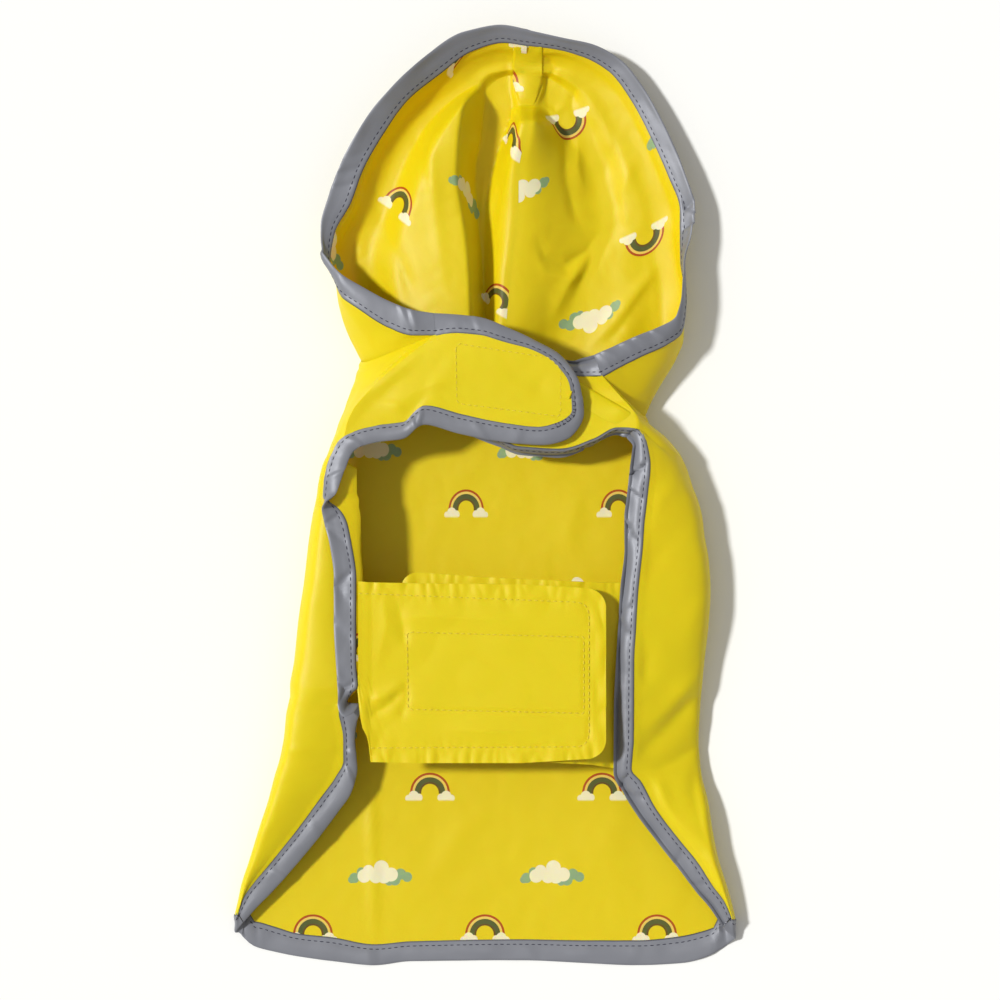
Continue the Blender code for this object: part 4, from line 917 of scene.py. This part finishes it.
def surface_tree(grids):
    """Front faces of some grids of points, to lay other pieces against."""
    points, faces = [], []
    for grid in grids:
        start = len(points)
        points += [Vector(p) for p in np.nan_to_num(grid.reshape(-1, 3), nan=-999)]
        there = ~np.isnan(grid[..., 0])
        columns = grid.shape[1]
        for r, c in zip(*np.nonzero(there[:-1, :-1] & there[:-1, 1:] & there[1:, 1:] & there[1:, :-1])):
            corner = start + r * columns + c
            faces.append((corner, corner + 1, corner + columns + 1, corner + columns))
    return BVHTree.FromPolygons(points, faces)


def surface_under(tree, x, y):
    """The top surface's point at a place in plan, or None beside the cloth."""
    return tree.ray_cast(Vector((x, y, SKY)), Vector((0, 0, -1)))[0]


def draped(tree, line, lift):
    """A plan line laid on the top surface under it."""
    out = []
    for a, b in zip(line, line[1:]):
        steps = max(1, round(math.dist(a, b)))
        for i in range(steps):
            x, y = (a[axis] + (b[axis] - a[axis]) * i / steps for axis in (0, 1))
            hit = surface_under(tree, x, y)
            if hit is not None:
                out.append((x, y, hit.z + lift))
    return np.array(out)


def laid_strip(name, tree, sides, profile, materials):
    """A narrow layer of cloth laid on the surface under it: its long sides in plan, and its height across."""
    count = max(round(math.dist(sides[0][0], sides[0][-1]) / STRIP_STEP), 4)
    share = np.linspace(0, 1, count + 1)
    sides = [
        np.stack([np.interp(share, np.linspace(0, 1, len(side)), place) for place in zip(*side)], axis=-1)
        for side in sides
    ]
    across, height = np.array(profile, dtype=float).T
    points = np.empty((len(share), len(across), 3))
    for i, (start, end) in enumerate(zip(*sides)):
        there = smooth_step(4 * (1 - share[i]))
        for j, (s, h) in enumerate(zip(across, height)):
            x, y = start + (end - start) * s
            hit = surface_under(tree, x, y) or tree.find_nearest(Vector((x, y, BESIDE_Z)))[0]
            points[i, j] = x, y, hit.z + h * there - CLOTH * (1 - there)
    if normals(points)[count // 2, len(across) // 2, 2] < 0:
        points = points[:, ::-1]
    return shell(name, points, points[..., :2], materials)


def rounded(corners, radius, closed):
    """A line through corners that are rounded with a few points each."""
    count = len(corners)
    out = []
    for i, corner in enumerate(corners):
        if not closed and i in (0, count - 1):
            out.append(corner)
            continue
        here, before, after = (np.array(corners[j % count], dtype=float) for j in (i, i - 1, i + 1))
        start, end = here + unit(before - here) * radius, here + unit(after - here) * radius
        for t in (0, 0.25, 0.5, 0.75, 1):
            out.append(tuple((1 - t) ** 2 * start + 2 * t * (1 - t) * here + t * t * end))
    return out + out[:1] if closed else out


def colour(code):
    """Linear colour of an sRGB hex code."""
    parts = [int(code[i:i + 2], 16) / 255 for i in (1, 3, 5)]
    return [p / 12.92 if p <= 0.04045 else ((p + 0.055) / 1.055) ** 2.4 for p in parts] + [1.0]


def add(tree, kind, inputs=None, **settings):
    """A node with its settings, and with its inputs set to values or linked to other nodes' sockets."""
    node = tree.nodes.new(kind)
    for name, value in settings.items():
        setattr(node, name, value)
    for key, value in (inputs or {}).items():
        if isinstance(value, bpy.types.NodeSocket):
            tree.links.new(value, node.inputs[key])
        else:
            node.inputs[key].default_value = value
    return node


def material(name, **values):
    """A material whose only shader is a Principled one with the given input values."""
    mat = bpy.data.materials.new(name)
    mat.use_nodes = True
    shader = mat.node_tree.nodes["Principled BSDF"]
    for key, value in values.items():
        shader.inputs[key.replace("_", " ")].default_value = value
    return mat, mat.node_tree, shader


def maths(tree, operation, a, b=0.0, clamp=False):
    return add(tree, "ShaderNodeMath", {0: a, 1: b}, operation=operation, use_clamp=clamp).outputs[0]


def vectors(tree, operation, inputs, output="Vector"):
    return add(tree, "ShaderNodeVectorMath", inputs, operation=operation).outputs[output]


def blend(tree, share, under, over):
    mix = add(tree, "ShaderNodeMix", {"Factor": share, "A": under, "B": over}, data_type="RGBA")
    return mix.outputs["Result"]


def paint(tree, shader, share, under, over):
    """Colours the surface with a blend of two colours."""
    tree.links.new(blend(tree, share, under, over), shader.inputs["Base Color"])


def bumped(tree, shader, height, depth):
    """Lets a height of 0 to 1 raise the surface by at most the depth, in millimetres."""
    bump = add(tree, "ShaderNodeBump", {"Height": height, "Distance": depth * MM, "Strength": 1.0})
    tree.links.new(bump.outputs[0], shader.inputs["Normal"])


def millimetres(tree):
    """The flat pattern's coordinates in millimetres."""
    uv = add(tree, "ShaderNodeUVMap", uv_map="pattern")
    return vectors(tree, "SCALE", {0: uv.outputs["UV"], "Scale": 1 / MM})


def weave(tree, place, pitch):
    """Plain weave: threads both ways, 0 to 1."""
    warp, weft = (
        add(tree, "ShaderNodeTexWave", {"Vector": place, "Scale": math.pi / 10 / pitch}, bands_direction=way)
        for way in ("X", "Y")
    )
    return maths(tree, "MULTIPLY", warp.outputs["Fac"], weft.outputs["Fac"])


def nearest_motif(tree, place, centre):
    """Coordinates around the nearest of the repeat's motifs."""
    here = vectors(tree, "SUBTRACT", {0: place, 1: (*centre, 0)})
    for row, step in zip(np.linalg.inv(np.array(REPEAT).T), REPEAT):
        count = vectors(tree, "DOT_PRODUCT", {0: here, 1: (*row, 0)}, "Value")
        turns = maths(tree, "MULTIPLY", maths(tree, "ROUND", count), -1.0)
        shift = vectors(tree, "SCALE", {0: (*step, 0), "Scale": turns})
        here = vectors(tree, "ADD", {0: here, 1: shift})
    return here


def blobs(tree, here, circles):
    """1 inside any of the circles (x, y, radius) around a motif's middle, with a soft printed edge."""
    inside = None
    for x, y, radius in circles:
        gap = vectors(tree, "DISTANCE", {0: here, 1: (x, y, 0)}, "Value")
        cover = maths(tree, "MULTIPLY", maths(tree, "SUBTRACT", radius, gap), 1 / PRINT_EDGE, clamp=True)
        inside = cover if inside is None else maths(tree, "MAXIMUM", inside, cover)
    return inside


def print_colour(tree, place):
    """Yellow ground with rainbows on small clouds and with single clouds, each on the same slanted repeat."""
    here = nearest_motif(tree, place, RAINBOW_AT)
    axes = add(tree, "ShaderNodeSeparateXYZ", {0: here}).outputs
    legs = add(tree, "ShaderNodeCombineXYZ", {0: axes[0], 1: maths(tree, "MAXIMUM", axes[1])}).outputs[0]
    radius = vectors(tree, "LENGTH", {0: legs}, "Value")
    ramp = add(tree, "ShaderNodeValToRGB", {0: maths(tree, "MULTIPLY", radius, 1 / RAINBOW[-1][0])})
    ramp.color_ramp.interpolation = "CONSTANT"
    for _ in RAINBOW[2:]:
        ramp.color_ramp.elements.new(0.5)
    for element, (start, code) in zip(ramp.color_ramp.elements, RAINBOW):
        element.position = start / RAINBOW[-1][0]
        element.color = colour(code) if code else (0, 0, 0, 0)
    above_feet = maths(tree, "GREATER_THAN", axes[1], FEET_TOP)
    share = maths(tree, "MULTIPLY", ramp.outputs["Alpha"], above_feet)
    result = blend(tree, share, colour(GROUND), ramp.outputs["Color"])
    mirrored = vectors(tree, "ABSOLUTE", {0: here})
    side = add(tree, "ShaderNodeSeparateXYZ", {0: mirrored}).outputs[0]
    feet = add(tree, "ShaderNodeCombineXYZ", {0: side, 1: axes[1]}).outputs[0]
    flat_foot = maths(tree, "SUBTRACT", axes[1], FEET_BOTTOM, clamp=True)
    share = maths(tree, "MULTIPLY", blobs(tree, feet, FEET), flat_foot)
    result = blend(tree, share, result, colour(CREAM))
    here = nearest_motif(tree, place, CLOUD_AT)
    for circles, code in ((SAGE_CLOUD, SAGE), (CREAM_CLOUD, CREAM)):
        result = blend(tree, blobs(tree, here, circles), result, colour(code))
    return result


def cloth_material(name, printed):
    """Polyester taffeta, polyurethane-coated outside: satin, with fine threads; the print is inside."""
    mat, tree, shader = material(
        name, Roughness=0.48, IOR=1.5, Specular_IOR_Level=0.3, Subsurface_Weight=0.6,
        Subsurface_Radius=CLOTH_GLOW, Subsurface_Scale=2 * CLOTH * MM,
    )
    place = millimetres(tree)
    tint = add(tree, "ShaderNodeTexNoise", {"Vector": place, "Scale": 0.03, "Detail": 2.0}).outputs["Fac"]
    base = print_colour(tree, place) if printed else colour(OUTSIDE)
    paint(tree, shader, maths(tree, "MULTIPLY", tint, 0.12), base, colour(DEEP))
    fine = add(tree, "ShaderNodeTexNoise", {"Vector": place, "Scale": 0.5, "Detail": 4.0, "Roughness": 0.6})
    threads = weave(tree, place, THREAD_PITCH)
    height = maths(tree, "ADD", maths(tree, "MULTIPLY", threads, 0.3), fine.outputs["Fac"])
    bumped(tree, shader, height, CLOTH_RELIEF)
    return mat


def tape_material():
    """Grey reflective tape: a woven ground with glass beads in a binder, dull silver, with painted shade on
    its lip where it laps the cloth.
    """
    mat, tree, shader = material("reflective glass-bead tape", Roughness=0.45, IOR=1.5, Metallic=0.15)
    place = millimetres(tree)
    beads = add(tree, "ShaderNodeTexVoronoi", {"Vector": place, "Scale": 2.2})
    worn = add(tree, "ShaderNodeTexNoise", {"Vector": place, "Scale": 0.06, "Detail": 3.0})
    share = maths(tree, "MULTIPLY", worn.outputs["Fac"], 0.5)
    grey = blend(tree, share, colour(TAPE_LIGHT), colour(TAPE_DARK))
    across = add(tree, "ShaderNodeSeparateXYZ", {0: place}).outputs[1]
    # Painted shade: the tape turns darker from its sewing line out across the lip that lies on the cloth.
    cut = maths(tree, "MULTIPLY", across, -1 / TAPE_OVERLAP, clamp=True)
    paint(tree, shader, cut, grey, colour(TAPE_LIP_SHADE))
    height = maths(tree, "ADD", beads.outputs["Distance"], weave(tree, place, TAPE_THREAD_PITCH))
    bumped(tree, shader, height, TAPE_RELIEF)
    return mat


def thread_material(name, shades):
    """Spun polyester sewing thread: matt, with the twist of its plies."""
    mat, tree, shader = material(name, Roughness=0.7, IOR=1.5)
    place = add(tree, "ShaderNodeTexCoord").outputs["Object"]
    ply = add(tree, "ShaderNodeTexWave", {"Vector": place, "Scale": 700.0}, bands_direction="DIAGONAL")
    paint(tree, shader, maths(tree, "MULTIPLY", ply.outputs["Fac"], 0.5), *map(colour, shades))
    return mat


def pile_material():
    """Yellow hook and loop tape: a dull pile of nylon loops."""
    mat, tree, shader = material("nylon hook and loop", Roughness=0.9, IOR=1.5, Sheen_Weight=0.4)
    place = add(tree, "ShaderNodeTexCoord").outputs["Object"]
    loops = add(tree, "ShaderNodeTexVoronoi", {"Vector": place, "Scale": 900.0}).outputs["Distance"]
    paint(tree, shader, loops, *map(colour, PILE))
    bumped(tree, shader, loops, PILE_RELIEF)
    return mat


def paper_material():
    """Seamless paper backdrop: matt and nearly white."""
    mat, tree, shader = material("seamless paper", Roughness=0.9, IOR=1.45)
    grain = add(tree, "ShaderNodeTexNoise", {"Scale": 40.0})
    share = maths(tree, "MULTIPLY", grain.outputs["Fac"], 0.02)
    paint(tree, shader, share, *map(colour, PAPER))
    return mat


def stitch_tree():
    """Geometry Nodes: a lockstitch's visible threads, set at even steps along each line."""
    tree = bpy.data.node_groups.new("lockstitch", "GeometryNodeTree")
    for name, kind in (
        ("Geometry", "Geometry"), ("Pitch", "Float"), ("Length", "Float"), ("Thickness", "Float"),
        ("Thread", "Material"),
    ):
        tree.interface.new_socket(name, in_out="INPUT", socket_type="NodeSocket" + kind)
    tree.interface.new_socket("Geometry", in_out="OUTPUT", socket_type="NodeSocketGeometry")
    start = add(tree, "NodeGroupInput").outputs

    def step(kind, inputs, **settings):
        return add(tree, kind, inputs, **settings).outputs[0]

    lines = step("GeometryNodeMeshToCurve", {"Mesh": start["Geometry"]})
    even = step("GeometryNodeResampleCurve", {"Curve": lines, "Length": start["Pitch"]}, mode="LENGTH")
    ball = step("GeometryNodeMeshUVSphere", {"Segments": 6, "Rings": 4, "Radius": 0.5})
    size = step("ShaderNodeCombineXYZ", {0: start["Length"], 1: start["Thickness"], 2: start["Thickness"]})
    tangent = step("GeometryNodeInputTangent", {})
    turn = step("FunctionNodeAlignRotationToVector", {"Vector": tangent}, axis="X")
    placed = {"Points": even, "Instance": ball, "Rotation": turn, "Scale": size}
    threads = step("GeometryNodeInstanceOnPoints", placed)
    real = step("GeometryNodeRealizeInstances", {"Geometry": threads})
    smooth = step("GeometryNodeSetShadeSmooth", {"Geometry": real})
    done = step("GeometryNodeSetMaterial", {"Geometry": smooth, "Material": start["Thread"]})
    add(tree, "NodeGroupOutput", {"Geometry": done})
    return tree


def stitches(name, tree, lines, mat, pitch=STITCH_PITCH, length=STITCH_LENGTH, thickness=THREAD):
    """Threads along lines of millimetre points, as a plain mesh."""
    starts = np.cumsum([0] + [len(line) for line in lines])
    edges = [(i, i + 1) for a, b in zip(starts, starts[1:]) for i in range(a, b - 1)]
    mesh = bpy.data.meshes.new(name + "_lines")
    mesh.from_pydata(((np.concatenate(lines) - MIDDLE) * MM).tolist(), edges, [])
    guide = link(name + "_lines", mesh)
    modifier = guide.modifiers.new("stitches", "NODES")
    modifier.node_group = tree
    sizes = {"Pitch": pitch * MM, "Length": length * MM, "Thickness": thickness * MM, "Thread": mat}
    for item in tree.interface.items_tree:
        if item.name in sizes:
            modifier[item.identifier] = sizes[item.name]
    bpy.context.view_layer.update()
    seen = guide.evaluated_get(bpy.context.evaluated_depsgraph_get())
    obj = link(name, bpy.data.meshes.new_from_object(seen))
    bpy.data.objects.remove(guide, do_unlink=True)
    return obj


def column_weights(top, seat, columns):
    """How much of each column belongs to the left side's upper layer, to the back, and to the right's."""
    i = np.arange(columns)
    left = 1 - smooth_step((i - top) / (seat - top) * 2)
    back = smooth_step((i - seat + 2) / 4)
    return left, back * back[::-1], left[::-1]


def body_pattern(points, seat):
    """Flat pattern of the body: the floor's own plan, continued over the folds by the cloth's length."""
    arc = arc_lengths(points)
    u = points[..., 0].copy()
    last = points.shape[1] - 1 - seat
    u[:, :seat] = points[:, [seat], 0] - (arc[:, [seat]] - arc[:, :seat])
    u[:, last + 1:] = points[:, [last], 0] + arc[:, last + 1:] - arc[:, [last]]
    begin, length, shift, draw = CHEST_GATHER
    u += ramp(points[..., 1], begin, length) * (shift + draw * points[..., 0])
    return np.nan_to_num(np.stack([u, points[..., 1]], axis=-1))


def hood_pattern(points, seat, side):
    """Flat pattern of half a hood: each rib's length laid out through its seat, turned as it was cut."""
    arc = arc_lengths(points)
    outward = unit(points[:, seat, :2] - points[:, seat + 2, :2])
    plan = points[:, [seat], :2] + outward[:, None] * (arc[:, [seat]] - arc)[..., None]
    turn, centre, bend, straight = HOOD_PRINT[side]
    plan[..., 1] -= bend * ((plan[..., 0] - straight) ** 2 - (centre[0] - straight) ** 2) / 2
    c, s = math.cos(math.radians(turn)), math.sin(math.radians(turn))
    return (plan - centre) @ np.array([[c, s], [-s, c]]) + RAINBOW_AT


def strap_cloth(points, under):
    """A strap with its hems: its height grows at the hems and puckers along them."""
    edge = np.concatenate([points[:, 0], points[:, -1], points[-1] if not under else points[0]])
    gap = gap_to(edge, points)
    pucker = crumple(points * (1, 0.35, 1), 5.5) + 0.6 * crumple(points * (1, 0.3, 1) + 30, 11)
    fade = np.exp(-(gap / HEM_FADE) ** 2)
    height = HEM_PUCKER * (pucker - 0.45) * fade + STRAP_WAVES * (crumple(points, 24) - 0.3)
    lift = height + (0 if under else crease_height(points, STRAP_CREASES))
    half = np.where(gap < HEM_WIDTH, CLOTH, CLOTH / 2 + 0.1)
    return points + normals(points) * lift[..., None], half


def side_toward(rows, side, stations):
    """What a side tape's cloth heads for: the turned-back crease, or the chest flap's middle."""
    centre = np.array(FLAP_CENTRES[side], dtype=float)
    share = smooth_step((stations - FLAP_STATIONS[0] + 0.5))[:, None]
    return point(rows, "crease_") * (1 - share) + centre * share


def hem_edges(row, left, right):
    """The hem's open edge for the body's first row, from one side tape's end to the other's."""
    out = sum(SIDE_STEPS[:4])
    x = row[:, 0]
    free_y, free_z = Table(HEM_COLUMNS, HEM).at(x)["free_y"], np.maximum(row[:, 2] * 0.8, TAPE / 2)
    free = np.stack([x, free_y, free_z], axis=-1)
    for table, way in ((left, 1), (right, -1)):
        side = free[::way]
        end, start = side[out].copy(), point(table.at(0), "free_")
        for i in range(out):
            side[i] = start + (end - start) * smooth_step(i / out)
    return free


def body_pieces(faces, tape):
    """The body's cloth and the tapes along its sides and its hem.

    Returns the pieces by node, the lines for their stitches, the left side's table and the cloth's points."""
    left, right = (Table(BODY_COLUMNS, fill_creases(rows)) for rows in (LEFT_SIDE, RIGHT_SIDE))
    rest = body_grid(left, right)
    top, seat = (FLAP_STEPS + sum(SIDE_STEPS[:count]) for count in (3, 5))
    stations = left.even(TAPE_PER_STATION)
    sides = [side.at(stations) for side in (left, right)]
    first, inner = rest[[0, HEM_STEP], FLAP_STEPS:-FLAP_STEPS]
    edges = np.concatenate([*(point(side, "sew_") for side in sides), first, rest[-1]])
    weights = column_weights(top, seat, rest.shape[1])
    body = creased(rest, list(zip((LEFT_CREASES, BACK_CREASES, RIGHT_CREASES), (-1, 1, -1), weights)), edges)
    pieces = {"body_panel": shell("body_cloth", body, body_pattern(body, seat), faces)}
    seams = []
    for node, side, way in zip(("left_edge_binding", "right_edge_binding"), sides, (-1, 1)):
        toward = side_toward(side, way, stations)
        pieces[node], lines = tape_object(node, point(side, "free_"), point(side, "sew_"), toward, tape)
        seams += lines
    free, sew, toward = (rows[HEM_CUT:-HEM_CUT] for rows in (hem_edges(first, left, right), first, inner))
    pieces["hem_binding"], lines = tape_object("hem_binding", free, sew, toward, tape)
    return pieces, seams + lines, left, body


def hood_pieces(faces, tape):
    """The hood's halves and the tape round its opening, the lines for its stitches and the halves' points."""
    pieces, rims, halves = {}, [], []
    for side, rows, node in ((-1, LEFT_RIBS, "hood_left"), (1, RIGHT_RIBS, "hood_right")):
        table = Table(RIB_COLUMNS + SEAM_COLUMNS, [(*row, *seam) for row, seam in zip(rows, SEAM)])
        rest = hood_grid(table)
        column = np.arange(rest.shape[1])
        along = (np.arange(len(rest)) - 1)[:, None] / RIBS_PER_STATION
        turned = ramp(along, *HOOD_TURNED)
        inner = np.maximum(ramp(column, *HOOD_INSIDE)[None], turned)
        wall = (1 - ramp(column, *HOOD_WALL))[None] * (1 - turned)
        edges = np.concatenate([rest[:, 0], rest[1], rest[:, -1]])
        half = creased(rest, [(HOOD_CREASES, -side, inner), ([], side, wall)], edges)
        pattern = hood_pattern(half, sum(SIDE_STEPS[:5]), side)
        half, pattern = half[:, ::-side], pattern[:, ::-side]
        halves.append(half)
        pieces[node] = shell(node + "_cloth", half, pattern, faces)
        rim = table.at(table.even(TAPE_PER_STATION))
        free, sew, top = (point(rim, part) for part in ("free_", "sew_", "out_"))
        top[:, 2] = rim["top_z"]
        rims.append((free, sew, top) if side < 0 else (free[-2::-1], sew[-2::-1], top[-2::-1]))
    free, sew, top = (np.concatenate(parts) for parts in zip(*rims))
    pieces["hood_binding"], seams = tape_object("hood_binding", free, sew, top, tape)
    return pieces, seams, halves


def strap_pieces(outside):
    """Both belly straps, and the points of the upper one."""
    pieces, grids = {}, []
    for node, rows in (("belly_strap_left", LEFT_STRAP), ("belly_strap_right", RIGHT_STRAP)):
        points, half = strap_cloth(strap_grid(rows), under=rows is RIGHT_STRAP)
        grids.append(points)
        pattern = points[..., :2] - STRAP_PATTERN_AT
        pieces[node] = shell(node + "_cloth", points, pattern, [outside, outside], half)
    return pieces, grids[0]


def flap_bartacks(left):
    """Short lines across the tape round the left chest flap's end."""
    bars = []
    for station in np.linspace(*BARTACKS):
        free, sew = (point(left.at(station), part) for part in ("free_", "sew_"))
        bars.append([sew + (free - sew) * s + (0, 0, TAPE / 2 + STITCH_LIFT) for s in BARTACK_SHARES])
    return bars


def build(solids):
    """Makes every piece, gives the closures' solids their pile, hangs every piece on the root body and hides
    the solids the pieces replace.
    """
    outside, inside = cloth_material("coated taffeta", False), cloth_material("printed taffeta", True)
    tape = tape_material()
    navy = thread_material("navy polyester thread", NAVY)
    yellow = thread_material("yellow polyester thread", YELLOW)
    pile = pile_material()
    threads = stitch_tree()

    pieces, seams, left, body = body_pieces([inside, outside], tape)
    hood, lines, halves = hood_pieces([inside, outside], tape)
    straps, strap = strap_pieces(outside)
    pieces.update({**hood, **straps})
    seams += lines

    on_strap, on_flap = surface_tree([strap]), surface_tree([body[-FLAP_ROW_STEPS - 1:]])
    lines = [
        draped(tree, rounded(line, radius, closed), height + STITCH_LIFT)
        for tree, line, radius, closed, height in (
            (on_strap, STRAP_CLOSURE, 1.0, True, CLOTH),
            (on_strap, STRAP_HEM, 7.0, False, CLOTH),
            (on_flap, CHEST_CLOSURE, 2.5, True, CLOTH / 2),
        )
    ]
    lines += [draped(on_flap, line, STITCH_LIFT) for line in NECK_STITCHES]
    extra = [
        stitches("closure_stitches", threads, lines, yellow),
        laid_strip("neck_tuck", on_flap, TUCK_SIDES, TUCK_PROFILE, [outside, outside]),
        laid_strip("crown_tab", surface_tree(halves), TAB_SIDES, TAB_PROFILE, [inside, inside]),
        stitches("tape_stitches", threads, seams, navy),
        stitches("flap_bartacks", threads, flap_bartacks(left), navy, *BARTACK_THREAD),
    ]

    for node in solids:
        if "patch" in node.name:
            node.data.materials.clear()
            node.data.materials.append(pile)
    for node, piece in pieces.items():
        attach(piece, "root")
        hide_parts(node)
    for piece in extra:
        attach(piece, "root")


for obj in list(bpy.data.objects):
    bpy.data.objects.remove(obj, do_unlink=True)
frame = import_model()
build(frame["nodes"].values())

bpy.ops.mesh.primitive_plane_add(size=FLOOR_SIZE)
floor = bpy.context.object
floor.name = "floor"
floor.data.materials.append(paper_material())
bpy.ops.object.light_add(type="SUN", rotation=[math.radians(turn) for turn in SUN_TURN])
sun = bpy.context.object
sun.data.energy = SUN_POWER
sun.data.angle = math.radians(SUN_SIZE)
world = bpy.data.worlds.new("soft studio fill")
bpy.context.scene.world = world
world.use_nodes = True
background = world.node_tree.nodes["Background"].inputs
background["Color"].default_value = FILL_COLOUR
background["Strength"].default_value = FILL_POWER

camera = link("camera", bpy.data.cameras.new("camera"))
camera.data.lens = CAMERA_LENS
camera.data.clip_end = CAMERA_REACH
camera.location = (*CAMERA_AT, PICTURE_SIZE * camera.data.lens / camera.data.sensor_width)
bpy.context.scene.camera = camera
bpy.context.scene.view_settings.view_transform = "Standard"

bpy.context.view_layer.update()
